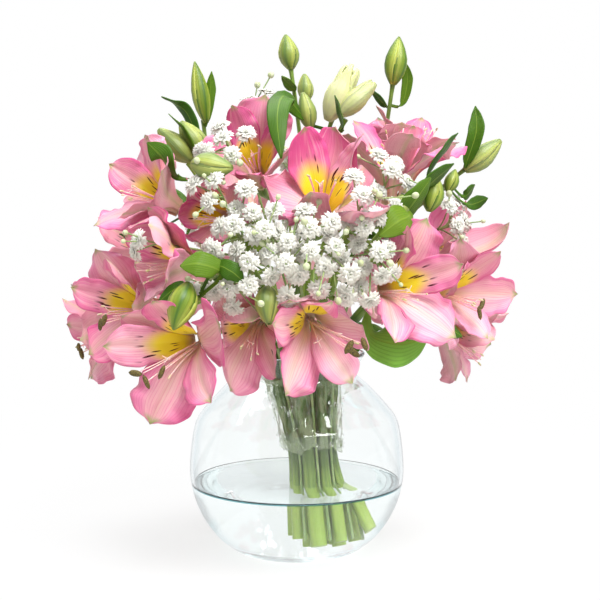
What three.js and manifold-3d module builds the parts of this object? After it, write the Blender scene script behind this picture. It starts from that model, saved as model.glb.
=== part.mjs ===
// Bouquet of pink alstroemeria and white gypsophila in a round glass vase.
// Millimetres, +Z up, origin at the centre of the vase's flat base, front towards -Y.
import * as THREE from "three";
import { mergeVertices } from "three/addons/utils/BufferGeometryUtils.js";
import Module from "manifold-3d";

const wasm = await Module();
wasm.setup();

// ---------------------------------------------------------------- dimensions
const GAP = 0.35; // clearance between two pieces that touch
const WALL = 2.2; // glass
const VASE_SIDES = 26;
const WATER_TOP = 36;
const FLOOR = 5; // inner floor of the vase
// outer profile of the vase, radius and height
const VASE_OUT = [
  [37, 3], [44, 9], [51, 19], [55.8, 31], [57.5, 45], [54.8, 67],
  [48.8, 77], [39.2, 87.4], [32, 95], [36.4, 105],
];
const BASE_R = 29;

const STEM_R = 2.9; // alstroemeria stem
const SPRAY_R = 0.7; // gypsophila stem
const PEDICEL_R = 1.35;
const STALK_R = 0.5; // stalk of one floret
const TEPAL_THICK = 0.7;
const LEAF_THICK = 0.7;
const TEPAL_LONG = 48;
const STAMENS = [1, 2, 8, 12, 14]; // flowers whose stamens stand clear
const DROOP = { 1: [-5, 9], 14: [15, 5] }; // how far their ends lean: sideways and down
const SPRAY_FOOT = 14; // cut ends of the gypsophila
const COARSE = [2, 3, 4, 5, 6, 7, 9, 10, 11, 12, 13, 15, 16, 17, 18, 19, 20, 21, 22, 23]; // flowers half hidden by others
const THROAT = 20; // from the flower's base to its throat
const FLORET_R = 5.0;
const RING = [4.2, 10.8]; // inner and outer ring of stems at the waist
const WAIST = 55;
const FILM = [55, 94]; // lower and upper edge of the film
const FILM_THICK = 0.8;

// centre and spread of the bundle of stems at each height
const BUNDLE = [
  // z, x of the centre, spread
  [5, 13, 1.25], [30, 10, 1.06], [55, 8, 1.0], [90, 4, 1.5],
  [105, 3, 1.75], [130, 2, 2.4], [165, 2, 3.3],
];

// stems: name, ring, azimuth (0 = front, + = right), radius, umbel point, cut end height
const STEMS = [
  ["leafy_stem_01", 1, -12, 3.6, [-14, -37, 136], 13],
  ["leafy_stem_02", 1, 33, STEM_R, [18, -37, 138], 14.6],
  ["leafy_stem_03", 1, 78, STEM_R, [42, -14, 138], 18.5],
  ["leafy_stem_04", 1, 123, STEM_R, [36, 18, 156], 15],
  ["leafy_stem_05", 1, 168, STEM_R, [10, 36, 148], 14],
  ["leafy_stem_06", 1, 213, STEM_R, [-16, 32, 150], 13],
  ["leafy_stem_07", 1, 258, STEM_R, [-40, 10, 148], 17],
  ["leafy_stem_08", 1, 303, STEM_R, [-38, -26, 138], 16],
  ["leafy_stem_09", 0, -12, STEM_R, [0, -26, 163], 15],
  ["leafy_stem_10", 0, 78, STEM_R, [27, -10, 170], 13],
  ["leafy_stem_11", 0, 168, STEM_R, [6, 10, 182], 14],
  ["leafy_stem_12", 0, 258, STEM_R, [-42, -24, 186], 18],
];

// blooms: stem, throat x y z, yaw, pitch, roll, size, openness
// yaw 0 faces the front, + turns right; pitch + looks up; roll turns the flower in its own plane
const BLOOMS = [
  [1, -51, -86, 118, -26, -6, -45, 1.1, 1.08],
  [8, -80, -48, 133, -48, 5, -30, 1.0, 1.0],
  [7, -98, -12, 118, -78, -10, -30, 0.98, 0.9],
  [12, -68, -50, 188, -54, 26, -30, 0.95, 0.95],
  [8, -56, -74, 156, -60, 0, 0, 0.94, 0.88],
  [9, -37, -58, 178, -32, 8, -50, 0.88, 0.88],
  [11, -20, -48, 203, -8, 34, 10, 0.94, 0.8],
  [9, 12, -71, 185, 2, 36, 18, 1.2, 1.05],
  [10, 47, -45, 201, 10, 82, 0, 1.0, 0.95],
  [4, 60, -8, 209, 60, 74, 20, 0.95, 0.95],
  [10, 75, -26, 156, 80, 5, 10, 0.88, 0.85],
  [2, 45, -78, 144, 26, 8, 25, 1.02, 1.02],
  [3, 78, -40, 140, 42, 0, -20, 0.96, 0.95],
  [2, 8, -84, 127, 8, -10, -35, 1.04, 1.0],
  [1, -20, -74, 125, -8, -10, -40, 0.98, 0.95],
  [3, 82, -12, 118, 70, -25, -20, 0.95, 0.85],
  [4, 84, 30, 150, 108, 8, 0, 0.98, 1.0],
  [5, 54, 64, 140, 140, 5, 20, 1.0, 1.0],
  [5, 4, 80, 128, 178, -8, 0, 1.0, 1.0],
  [6, -52, 62, 140, 222, 5, -15, 0.98, 1.0],
  [7, -86, 26, 158, 255, 12, 10, 1.0, 1.0],
  [5, 26, 56, 188, 160, 35, 0, 0.98, 0.95],
  [6, -32, 52, 190, 212, 35, 15, 0.98, 0.95],
];

// green buds: stem, base x y z, tip x y z, width
const BUDS = [
  [7, -48, 0, 228, -54, 0, 260, 9],
  [11, -3, 0, 256, -6, 0, 274, 10.5],
  [11, 5, -10, 238, 4, -10, 252, 8],
  [11, 7, -28, 222, 3, -30, 240, 9],
  [11, 16, -12, 228, 29, -10, 256, 14],
  [11, 22, -16, 230, 40, -13, 247, 11],
  [12, -53, -26, 206, -70, -26, 222, 12],
  [12, -47, -22, 209, -59, -24, 226, 12],
  [12, -48, -80, 201, -29, -84, 199, 12],
  [4, 51, 0, 248, 54, 0, 273, 11.5],
  [4, 90, 4, 203, 109, 4, 219, 12],
  [10, 63, -64, 180, 67, -60, 197, 10],
  [10, 75, -40, 190, 79, -38, 201, 7],
  [10, 46, -78, 175, 49, -78, 187, 9],
  [1, -48, -97, 147, -54, -105, 127, 13],
  [1, -13, -90, 145, -12, -98, 129, 12.5],
];

// leaves: width, droop roll, then the points from the visible base to the tip
const LEAVES = [
  [8, 30, [-51, -20, 217], [-57, -18, 232], [-69, -22, 239]],
  [8, -20, [-51, -30, 210], [-57, -31, 221], [-64, -34, 229]],
  [12, 10, [-57, -58, 196], [-63, -68, 205], [-70, -68, 212]],
  [6, 80, [-48, 0, 228], [-46, 0, 243], [-45, 0, 255]],
  [13, 0, [3, -31, 228], [-6, -48, 236], [-9, -66, 224], [-7, -74, 204]],
  [7, 40, [-1, -2, 245], [-8, -4, 252]],
  [8, 70, [22, -38, 220], [22, -37, 229], [19, -35, 238]],
  [6, 20, [48, 4, 237], [40, 6, 246]],
  [6, 80, [56, 6, 238], [59, 5, 250], [58, 3, 260]],
  [9, 70, [90, 0, 206], [95, -2, 223], [95, 2, 237]],
  [9, 40, [62, -64, 196], [70, -63, 208], [77, -60, 217]],
  [12, 40, [55, -70, 184], [63, -72, 193], [74, -68, 202]],
  [13, 20, [48, -78, 176], [55, -80, 185], [62, -78, 195]],
  [15, 0, [52, -82, 178], [46, -90, 175], [37, -92, 168]],
  [7, 0, [84, -32, 188], [90, -30, 194]],
  [7, 0, [85, -36, 184], [96, -34, 187]],
  [12, 10, [-33, -100, 151], [-42, -106, 156], [-51, -104, 155]],
  [9, 0, [-36, -100, 154], [-29, -105, 153], [-23, -104, 148]],
  [7, 0, [-50, -96, 146], [-55, -98, 144], [-62, -97, 138]],
  [23, 0, [34, -74, 123], [48, -78, 118], [62, -72, 121]],
  [12, 0, [69, -56, 142], [62, -60, 138], [54, -62, 140]],
  [13, 0, [66, -46, 128], [73, -52, 124], [81, -52, 119]],
  [7, 0, [-78, -48, 166], [-86, -53, 169]],
  [14, 0, [-12, -26, 112], [-20, -38, 122], [-24, -50, 118]],
  [13, 0, [22, -22, 108], [30, -34, 116], [40, -44, 118]],
  [14, 0, [26, 18, 112], [42, 34, 118], [52, 46, 112]],
  [14, 0, [-16, 24, 112], [-32, 40, 120], [-44, 50, 114]],
  [15, 0, [34, 62, 150], [44, 76, 164], [50, 88, 166]],
  [15, 0, [-18, 62, 160], [-26, 80, 166], [-30, 90, 158]],
  [14, 0, [-60, 34, 180], [-76, 42, 190], [-84, 46, 186]],
  [13, 0, [58, 26, 184], [74, 36, 194], [84, 42, 190]],
  [12, 10, [0, 44, 196], [4, 58, 212], [8, 66, 214]],
];

// gypsophila: name, azimuth of its stem, radius of its slot, hub, sprigs (x y z, florets)
const SPRAYS = [
  ["gypsophila_spray_a", -34.5, 12.4, [-24, -60, 158],
    [[-40, -88, 189, 3], [-24, -94, 182, 3], [-31, -98, 170, 5], [-21, -101, 156, 5],
      [-26, -98, 145, 3], [-44, -92, 143, 2], [-73, -84, 166, 2]]],
  ["gypsophila_spray_b", 10.5, 12.4, [0, -58, 156],
    [[-13, -101, 168, 4], [-3, -103, 160, 6], [15, -103, 161, 7], [9, -102, 169, 4]]],
  ["gypsophila_spray_c", 55, 12.4, [30, -56, 160],
    [[33, -98, 156, 7], [27, -96, 146, 3], [35, -90, 187, 5], [31, -96, 172, 2], [44, -80, 201, 4]]],
  ["gypsophila_spray_d", 0, 0, [-22, -8, 196],
    [[-38, -72, 214, 7], [-22, -22, 240, 2]]],
  ["gypsophila_spray_e", 100, 12.4, [54, -4, 166],
    [[85, -40, 177, 6]]],
  ["gypsophila_spray_f", 190.5, 12.4, [-4, 50, 164],
    [[-6, 84, 168, 4], [26, 82, 160, 2], [-60, 66, 172, 3], [-4, 44, 214, 2]]],
];

// ---------------------------------------------------------------- small maths
const V = (a, b, c) => new THREE.Vector3(a, b, c);
const vec = (a) => V(a[0], a[1], a[2]);
const rad = THREE.MathUtils.degToRad;
const lerp = THREE.MathUtils.lerp;
const smooth = (a, b, t) => THREE.MathUtils.smoothstep(t, a, b);
const draw = (i, salt) => {
  const s = Math.sin(i * 12.9898 + salt * 78.233) * 43758.5453;
  return s - Math.floor(s);
};
const aimed = (yaw, pitch) =>
  V(
    Math.sin(rad(yaw)) * Math.cos(rad(pitch)),
    -Math.cos(rad(yaw)) * Math.cos(rad(pitch)),
    Math.sin(rad(pitch)),
  );
// value of a table column at z, eased between its rows
function atHeight(table, column, z) {
  const curve = new THREE.CatmullRomCurve3(
    table.map((row) => V(row[0], row[column], 0)), false, "catmullrom", 0.5);
  const n = table.length - 1;
  let i = 0;
  while (i < n - 1 && z > table[i + 1][0]) i++;
  const k = THREE.MathUtils.clamp(
    (z - table[i][0]) / (table[i + 1][0] - table[i][0]), 0, 1);
  return curve.getPoint((i + k) / n).y;
}
const inBundle = (z, azimuth, radius) => {
  const k = radius * atHeight(BUNDLE, 2, z);
  return V(
    atHeight(BUNDLE, 1, z) + k * Math.sin(rad(azimuth)),
    -k * Math.cos(rad(azimuth)),
    z,
  );
};

// ---------------------------------------------------------------- solids
function solid(geometry) {
  const bare = new THREE.BufferGeometry();
  bare.setAttribute("position", geometry.getAttribute("position"));
  if (geometry.index) bare.setIndex(geometry.index);
  const merged = mergeVertices(bare, 1e-4);
  const at = merged.index.array;
  const tris = [];
  for (let i = 0; i < at.length; i += 3)
    if (at[i] !== at[i + 1] && at[i + 1] !== at[i + 2] && at[i] !== at[i + 2])
      tris.push(at[i], at[i + 1], at[i + 2]);
  const make = (list) =>
    new wasm.Manifold(
      new wasm.Mesh({
        numProp: 3,
        vertProperties: new Float32Array(merged.attributes.position.array),
        triVerts: new Uint32Array(list),
      }),
    );
  let made = make(tris);
  if (made.volume() < 0) {
    for (let i = 0; i < tris.length; i += 3)
      [tris[i + 1], tris[i + 2]] = [tris[i + 2], tris[i + 1]];
    made = make(tris);
  }
  return made;
}
const joined = (list) => wasm.Manifold.union(list);
// the one body that is left when a cut has split off scraps
function largest(made) {
  const bodies = made.decompose();
  bodies.sort((a, b) => b.volume() - a.volume());
  return bodies[0];
}
function box(made) {
  const b = made.boundingBox();
  return new THREE.Box3(vec(b.min), vec(b.max));
}
// cuts the grown neighbours out of a solid
function carved(made, grown) {
  const own = box(made);
  const near = grown.filter((g) => g.box.intersectsBox(own)).map((g) => g.made);
  return near.length ? made.subtract(joined(near)) : made;
}

const through = (points) =>
  new THREE.CatmullRomCurve3(points, false, "catmullrom", 0.5);
// curve that leaves p0 along d0 and arrives at p1 along d1
function bent(p0, d0, p1, d1, bend = 0.36) {
  const k = p0.distanceTo(p1) * bend;
  return new THREE.CubicBezierCurve3(
    p0, p0.clone().addScaledVector(d0, k), p1.clone().addScaledVector(d1, -k), p1);
}
// round bar laid along a curve: rings of [share of the length, radius]
function swept(curve, rings, sides, spin = 0) {
  const geometry = new THREE.CylinderGeometry(1, 1, rings.length - 1, sides, rings.length - 1);
  let across = null;
  const frames = rings.map(([t]) => {
    const tangent = curve.getTangentAt(Math.min(1, Math.max(0, t)));
    if (!across) across = Math.abs(tangent.z) > 0.9 ? V(0, 1, 0) : V(0, 0, 1);
    across = across.clone().addScaledVector(tangent, -across.dot(tangent)).normalize();
    return { at: curve.getPointAt(t), across, other: tangent.clone().cross(across) };
  });
  const position = geometry.getAttribute("position");
  for (let i = 0; i < position.count; i++) {
    const k = Math.round(position.getY(i) + (rings.length - 1) / 2);
    const f = frames[k], r = Math.max(rings[k][1], 0);
    const x = position.getX(i), z = position.getZ(i);
    const turn = spin + Math.atan2(x, z), reach = Math.hypot(x, z) * r;
    const p = f.at.clone()
      .addScaledVector(f.across, reach * Math.cos(turn))
      .addScaledVector(f.other, reach * Math.sin(turn));
    position.setXYZ(i, p.x, p.y, p.z);
  }
  return solid(geometry);
}
// point in the middle of a bar, on the straight piece between two of its rings
function onBar(bar, t) {
  const rings = bar.rings.map((r) => r[0]);
  let i = 0;
  while (i < rings.length - 2 && t > rings[i + 1]) i++;
  const k = (t - rings[i]) / (rings[i + 1] - rings[i]);
  return bar.curve.getPointAt(rings[i]).lerp(bar.curve.getPointAt(rings[i + 1]), k);
}
// thin blade: rows of one or three points, thickened on both sides
function blade(rows, thick) {
  const position = [], index = [];
  const starts = [[], []];
  const normals = rows.map((row, i) => {
    const a = rows[Math.max(0, i - 1)], b = rows[Math.min(rows.length - 1, i + 1)];
    const mid = (r) => r[(r.length - 1) / 2];
    const along = mid(b).clone().sub(mid(a));
    const wide = row.length > 1 ? row : i === 0 ? rows[1] : rows[i - 1];
    return row.map((p, j) => {
      const l = wide[row.length > 1 ? Math.max(0, j - 1) : 0];
      const r = wide[row.length > 1 ? Math.min(row.length - 1, j + 1) : wide.length - 1];
      return r.clone().sub(l).cross(along).normalize();
    });
  });
  for (const side of [0, 1])
    rows.forEach((row, i) => {
      starts[side].push(position.length / 3);
      row.forEach((p, j) => {
        const q = p.clone().addScaledVector(normals[i][j], ((side ? -1 : 1) * thick) / 2);
        position.push(q.x, q.y, q.z);
      });
    });
  const face = (a, b, c, flip) => (flip ? index.push(a, c, b) : index.push(a, b, c));
  for (const side of [0, 1])
    for (let i = 0; i + 1 < rows.length; i++) {
      const n = rows[i].length, m = rows[i + 1].length;
      const a = starts[side][i], b = starts[side][i + 1];
      for (let j = 0; j + 1 < Math.max(n, m); j++) {
        if (n === 1) face(a, b + j + 1, b + j, side);
        else if (m === 1) face(a + j, a + j + 1, b, side);
        else if (j < (n - 1) / 2) {
          face(a + j, a + j + 1, b + j, side);
          face(a + j + 1, b + j + 1, b + j, side);
        } else {
          face(a + j, a + j + 1, b + j + 1, side);
          face(a + j, b + j + 1, b + j, side);
        }
      }
    }
  // rim: down the right side and back up the left
  const rim = [];
  rows.forEach((row, i) => rim.push([i, row.length - 1]));
  for (let i = rows.length - 1; i >= 0; i--) if (rows[i].length > 1) rim.push([i, 0]);
  for (let k = 0; k < rim.length; k++) {
    const [i, j] = rim[k], [m, n] = rim[(k + 1) % rim.length];
    const a = starts[0][i] + j, b = starts[0][m] + n;
    const c = starts[1][i] + j, d = starts[1][m] + n;
    index.push(a, c, b, b, c, d);
  }
  const geometry = new THREE.BufferGeometry();
  geometry.setAttribute("position", new THREE.Float32BufferAttribute(position, 3));
  geometry.setIndex(index);
  return solid(geometry);
}

// ---------------------------------------------------------------- flower parts
const bloomFrame = (row) => {
  const axis = aimed(row[4], row[5]);
  const up = V(0, 0, 1).addScaledVector(axis, -axis.z).normalize();
  const right = up.clone().cross(axis).negate();
  const throat = V(row[1], row[2], row[3]);
  return {
    axis, up, right, throat,
    base: throat.clone().addScaledVector(axis, -THROAT * row[7]),
    centre: throat.clone().addScaledVector(axis, 6 * row[7]),
  };
};
const FRAMES = BLOOMS.map(bloomFrame);
// each sprig of gypsophila takes a round space that the tepals give way to
const SPRIG_BALLS = SPRAYS.flatMap((s) =>
  s[4].map((g) => ({ at: V(g[0], g[1], g[2]), r: 4.2 * Math.sqrt(g[3]) + 3.5 })));

// each flower keeps to the space that is nearer to it than to its neighbours
const SOFT = 7, SIDE_GAP = 0.65, PUSH = 1.7;
function crowded(p, own) {
  const c = FRAMES[own].centre;
  for (let pass = 0; pass < 2; pass++) {
    SPRIG_BALLS.forEach(({ at, r }) => {
      const d = p.distanceTo(at);
      if (d > 1e-3 && d < PUSH * r)
        p.sub(at).multiplyScalar((r + (d * (PUSH - 1)) / PUSH) / d).add(at);
    });
    FRAMES.forEach((other, j) => {
      if (j === own) return;
      const away = other.centre.clone().sub(c);
      const half = away.length() / 2 - SIDE_GAP;
      away.normalize();
      const s = p.clone().sub(c).dot(away) - half;
      if (s > -SOFT) p.addScaledVector(away, -SOFT * Math.exp(-(s + SOFT) / SOFT) - s);
    });
  }
  return p;
}

// kinds of tepal: length, half width, spread angle, tip recurve, cup, widest place
const OUTER = { long: 1.0, wide: 15, open: 56, curl: 20, cup: -0.15, peak: 0.68 };
const UPPER = { long: 0.98, wide: 9, open: 38, curl: 14, cup: 0.14, peak: 0.7 };
const LOWER = { long: 0.92, wide: 9, open: 44, curl: 26, cup: 0.1, peak: 0.7 };
// the two upper inner tepals stand close together; edges are the places between two tepals
const TURNS = [0, 42, 112, 180, 248, 318], EDGES = [-21, 21, 77, 146, 214, 283];
const tepalKind = (k) => (k === 3 ? LOWER : k % 2 === 0 ? OUTER : UPPER);
function halfWidth(kind, u) {
  const claw = 0.18 + 0.82 * smooth(0.08, kind.peak, u);
  const k = Math.max(0, (u - kind.peak) / (1.0 - kind.peak));
  return kind.wide * claw * Math.sqrt(Math.max(0, 1 - Math.pow(k, 2.4)));
}
// middle line of a tepal in its own plane: distance out from the axis and along it
const CORE_R = 3.4, CORE_H = 3;
function midline(kind, open, long, u) {
  let r = CORE_R - TEPAL_THICK / 2, h = CORE_H;
  const n = Math.max(1, Math.round(u * 24));
  for (let i = 0; i < n; i++) {
    const t = (u * (i + 0.5)) / n;
    const a = rad(7 + (kind.open * open - 7) * smooth(0.08, 0.6, t) + kind.curl * smooth(0.68, 1, t));
    r += (Math.sin(a) * long * u) / n;
    h += (Math.cos(a) * long * u) / n;
  }
  return [r, h];
}
// the two faces of one tepal: sections of three points, and one at the tip
function tepalSections(b, k, us) {
  const row = BLOOMS[b], f = FRAMES[b], kind = tepalKind(k);
  const turn = rad(row[6] + TURNS[k] + 6 * (draw(b * 6 + k, 1) - 0.5));
  const out = f.up.clone().multiplyScalar(Math.cos(turn)).addScaledVector(f.right, -Math.sin(turn));
  const side = f.axis.clone().cross(out);
  const size = row[7], open = row[8] * (1 + 0.12 * (draw(b * 6 + k, 2) - 0.5));
  const long = (TEPAL_LONG - CORE_H) * size * kind.long * (1 + 0.08 * (draw(b * 6 + k, 3) - 0.5));
  const twist = 0.4 * (draw(b * 6 + k, 4) - 0.5);
  const point = (u, v) => {
    const [r, h] = midline(kind, open, long, u);
    const [r2, h2] = midline(kind, open, long, u + 0.02);
    const slope = new THREE.Vector2(r2 - r, h2 - h).normalize();
    const inner = f.axis.clone().multiplyScalar(slope.x).addScaledVector(out, -slope.y);
    const w = halfWidth(kind, u) * size;
    return crowded(
      f.base.clone().addScaledVector(out, r).addScaledVector(f.axis, h)
        .addScaledVector(side, v * w)
        .addScaledVector(inner, kind.cup * w * v * v + twist * w * v * u),
      b);
  };
  return us.map((u) => {
    const tip = u === 1, e = 0.02;
    return (tip ? [0] : [1, 0, -1]).map((v) => {
      const at = point(u, v);
      const along = point(Math.min(u + e, 0.99), v).sub(point(Math.min(u + e, 0.99) - 2 * e, v));
      const across = point(Math.min(u, 0.97), v + e).sub(point(Math.min(u, 0.97), v - e));
      const face = along.cross(across).normalize().multiplyScalar(TEPAL_THICK / 2);
      return { back: at.clone().sub(face), front: at.clone().add(face) };
    });
  });
}
// flower: a six-sided cup at the base, with the wanted tepals growing from its rim
function corolla(b, wanted) {
  const f = FRAMES[b], row = BLOOMS[b], points = [], index = [];
  const put = (p) => points.push(p.x, p.y, p.z) / 3 - 1;
  const ringAt = (r, h) =>
    [0, 1, 2, 3, 4, 5].map((k) => {
      const turn = rad(row[6] + EDGES[k]);
      return put(f.base.clone().addScaledVector(f.axis, h)
        .addScaledVector(f.up, r * Math.cos(turn)).addScaledVector(f.right, -r * Math.sin(turn)));
    });
  const tri = (...t) => index.push(...t);
  const quad = (p, q, r, s) => tri(p, q, r, p, r, s);
  const foot = ringAt(2.1, 0), rim = ringAt(CORE_R, CORE_H), lip = ringAt(CORE_R - TEPAL_THICK - 0.2, CORE_H);
  for (let k = 1; k < 5; k++) tri(foot[0], foot[k + 1], foot[k]);
  for (let k = 1; k < 5; k++) tri(lip[0], lip[k], lip[k + 1]);
  for (let k = 0; k < 6; k++) {
    const n = (k + 1) % 6;
    quad(foot[k], foot[n], rim[n], rim[k]);
    if (!wanted.includes(k)) {
      quad(rim[k], rim[n], lip[n], lip[k]);
      continue;
    }
    const us = COARSE.includes(b + 1) || k % 2 ? [0.35, 0.76, 1] : [0.32, 0.64, 0.88, 1];
    const ids = tepalSections(b, k, us).map((s) =>
      s.map((q) => ({ back: put(q.back), front: put(q.front) })));
    // first section: two corners widen to three points
    const one = ids[0];
    tri(rim[k], one[1].back, one[0].back);
    tri(rim[k], rim[n], one[1].back);
    tri(rim[n], one[2].back, one[1].back);
    tri(lip[k], one[0].front, one[1].front);
    tri(lip[k], one[1].front, lip[n]);
    tri(lip[n], one[1].front, one[2].front);
    quad(rim[k], one[0].back, one[0].front, lip[k]);
    quad(rim[n], lip[n], one[2].front, one[2].back);
    for (let i = 0; i + 2 < ids.length; i++) {
      const p = ids[i], q = ids[i + 1];
      tri(p[0].back, p[1].back, q[1].back, p[0].back, q[1].back, q[0].back);
      tri(p[1].back, p[2].back, q[1].back, p[2].back, q[2].back, q[1].back);
      tri(p[0].front, q[1].front, p[1].front, p[0].front, q[0].front, q[1].front);
      tri(p[1].front, q[1].front, p[2].front, p[2].front, q[1].front, q[2].front);
      quad(p[0].back, q[0].back, q[0].front, p[0].front);
      quad(p[2].back, p[2].front, q[2].front, q[2].back);
    }
    const p = ids.at(-2), t = ids.at(-1)[0];
    tri(p[0].back, p[1].back, t.back, p[1].back, p[2].back, t.back);
    tri(p[0].front, t.front, p[1].front, p[1].front, t.front, p[2].front);
    quad(p[0].back, t.back, t.front, p[0].front);
    quad(p[2].back, p[2].front, t.front, t.back);
  }
  const geometry = new THREE.BufferGeometry();
  geometry.setAttribute("position", new THREE.Float32BufferAttribute(points, 3));
  geometry.setIndex(index);
  return solid(geometry);
}
function filament(b, k) {
  const row = BLOOMS[b], f = FRAMES[b], size = row[7];
  const [aside, below] = DROOP[b + 1] ?? [0, 7];
  const sway = aside + 4 * (1 - k) + 3 * (draw(b * 3 + k, 11) - 0.5);
  const sink = below + 3 * (draw(b * 3 + k, 12) - 0.5);
  const off = f.right.clone().multiplyScalar(-sway).addScaledVector(f.up, -sink);
  const from = f.base.clone().addScaledVector(f.axis, 2.4)
    .addScaledVector(f.up, -0.8).addScaledVector(f.right, 1.5 * (k - 1));
  const middle = f.base.clone()
    .addScaledVector(f.axis, 22 * size).addScaledVector(off, 0.25 * size);
  const tip = f.base.clone()
    .addScaledVector(f.axis, (36 + 6 * draw(b * 3 + k, 13)) * size)
    .addScaledVector(off, size);
  return new THREE.QuadraticBezierCurve3(from, middle, tip);
}
function bloomSolid(b) {
  const all = [0, 1, 2, 3, 4, 5];
  let made = corolla(b, all);
  // tepals that a neighbour presses onto each other are melted together
  const rings = joined([corolla(b, [0, 2, 4]), corolla(b, [1, 3, 5])]);
  if (made.volume() - rings.volume() > 0.02) made = rings;
  const each = joined(all.map((k) => corolla(b, [k])));
  if (made.volume() - each.volume() > 0.02) made = each;
  if (!STAMENS.includes(b + 1)) return made;
  return joined([made, ...[0, 2].map((k) =>
    swept(filament(b, k), [[0, 0.6], [0.6, 0.6], [0.88, 1.6], [1, 0]], 3))]);
}

// leaf: narrow stalk from the stem, then a blade along the points
function leafRows(leaf, start, grow) {
  const points = [start, ...leaf.slice(2).map(vec)];
  const curve = through(points);
  const n = points.length - 1, rest = 1 - 1 / n;
  const shares = leaf[0] < 13 ? [0, 0.08, 0.6, 1] : [0, 0, 0.45, 0.8, 1];
  const widths = leaf[0] < 13 ? [0, 0.55, 1, 0] : [0, 0.35, 1, 0.62, 0];
  return shares.map((share, i) => {
    const u = i === 0 ? 0 : 1 / n + rest * share;
    const p = curve.getPoint(u), t = curve.getTangent(Math.min(u, 0.999));
    if (widths[i] === 0) return [p.clone().addScaledVector(t, i === 0 ? -grow : grow)];
    const out = V(p.x - 2, p.y, 20).normalize();
    const side = t.clone().cross(out).normalize().applyAxisAngle(t, rad(leaf[1]));
    const face = side.clone().cross(t).normalize();
    const w = (leaf[0] / 2) * widths[i];
    return [-1, 0, 1].map((v) =>
      p.clone().addScaledVector(side, v * (w + grow)).addScaledVector(face, -0.18 * w * Math.abs(v)));
  });
}
const leafSolid = (leaf, start, grow = 0) =>
  blade(leafRows(leaf, start, grow), LEAF_THICK + 2 * grow);

// ---------------------------------------------------------------- woody lines
// each leafy stem: its own line, and one pedicel to each flower and bud
const WOOD = STEMS.map(([name, ring, azimuth, radius, umbel, foot], s) => {
  const lean = s === 2 ? 7 : 0; // one cut end stands away from the others
  const at = vec(umbel);
  const curve = through([
    inBundle(foot, azimuth, RING[ring]).add(V(lean, 0, 0)),
    inBundle(30, azimuth, RING[ring]).add(V(lean * 0.5, 0, 0)),
    inBundle(WAIST, azimuth, RING[ring]),
    inBundle(90, azimuth, RING[ring]),
    inBundle(112, azimuth, RING[ring]),
    at,
  ]);
  const up = curve.getTangent(0.98);
  const bars = [{
    curve, sides: 6,
    rings: [0, 0.18, 0.34, 0.47, 0.62, 0.78, 1].map((t) => [t, radius * (1 - 0.12 * t)]),
  }];
  const reach = (end, along, extra, sides, rings) => {
    const way = end.clone().sub(at).normalize();
    const start = way.clone().add(up.clone().multiplyScalar(0.35)).normalize();
    const from = at.clone().addScaledVector(up, -1).addScaledVector(way, 0.8);
    const line = bent(from, start, end, along, 0.34);
    const long = line.getLength();
    bars.push({ curve: line, sides, rings: rings(extra / long) });
  };
  BLOOMS.forEach((b, i) => {
    if (b[0] !== s + 1) return;
    const f = FRAMES[i];
    reach(f.base.clone().addScaledVector(f.axis, -GAP), f.axis, 10.5, 4, (k) => [
      [0, PEDICEL_R], [0.6 * (1 - k), PEDICEL_R], [1 - 0.9 * k, PEDICEL_R], [1 - 0.3 * k, 2.7], [1, 1.9]]);
  });
  BUDS.forEach((b) => {
    if (b[0] !== s + 1) return;
    const from = V(b[1], b[2], b[3]), to = V(b[4], b[5], b[6]), r = b[7] / 2;
    const along = to.clone().sub(from).normalize();
    reach(to, along, from.distanceTo(to), 5, (k) => [
      [0, 1.2], [0.45 * (1 - k), 1.1], [1 - 0.98 * k, 1.1], [1 - 0.62 * k, r], [1 - 0.26 * k, r * 0.66], [1, 0]]);
  });
  return { name, bars };
});
const woodSolids = (w, grow = 0) =>
  w.bars.map((t) => swept(t.curve, t.rings.map(([u, r]) => [u, r + grow]), t.sides));

// nearest stem or pedicel to a point, above the neck of the vase
function nearestWood(p) {
  let best = null;
  WOOD.forEach((w, s) =>
    w.bars.forEach((t) => {
      for (let i = 0; i <= 30; i++) {
        const q = onBar(t, i / 30);
        const d = q.distanceTo(p);
        if (q.z > 80 && (!best || d < best.d)) best = { d, q, s };
      }
    }),
  );
  return best;
}

// ---------------------------------------------------------------- gypsophila
// where the florets sit: spread round the middle of their sprig, then moved apart
const HEART = V(2, 0, 150);
const FLORETS = SPRAYS.flatMap(([, , , , sprigs], s) =>
  sprigs.flatMap((sprig, i) => {
    const centre = V(sprig[0], sprig[1], sprig[2]);
    const out = centre.clone().sub(HEART).normalize();
    const e1 = out.clone().cross(V(0, 0, 1)).normalize(), e2 = e1.clone().cross(out);
    return Array.from({ length: sprig[3] }, (_, k) => {
      const id = s * 100 + i * 10 + k;
      const ring = 6.4 * Math.sqrt(k + 0.1), turn = 2.4 * k + 6.28 * draw(s * 10 + i, 22);
      const at = centre.clone()
        .addScaledVector(e1, ring * Math.cos(turn))
        .addScaledVector(e2, ring * Math.sin(turn))
        .addScaledVector(out, 5 * (draw(id, 23) - 0.5) - 0.03 * ring * ring);
      return { s, i, k, id, at, out, size: 0.92 + 0.16 * draw(id, 24), spin: 6 * draw(id, 25) };
    });
  }));
for (let pass = 0; pass < 12; pass++)
  FLORETS.forEach((a, i) =>
    FLORETS.slice(i + 1).forEach((b) => {
      const d = a.at.distanceTo(b.at), need = FLORET_R * (a.size + b.size) + 1.2;
      if (d >= need) return;
      const way = b.at.clone().sub(a.at).multiplyScalar((need - d) / (2 * d));
      a.at.sub(way);
      b.at.add(way);
    }));
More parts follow.
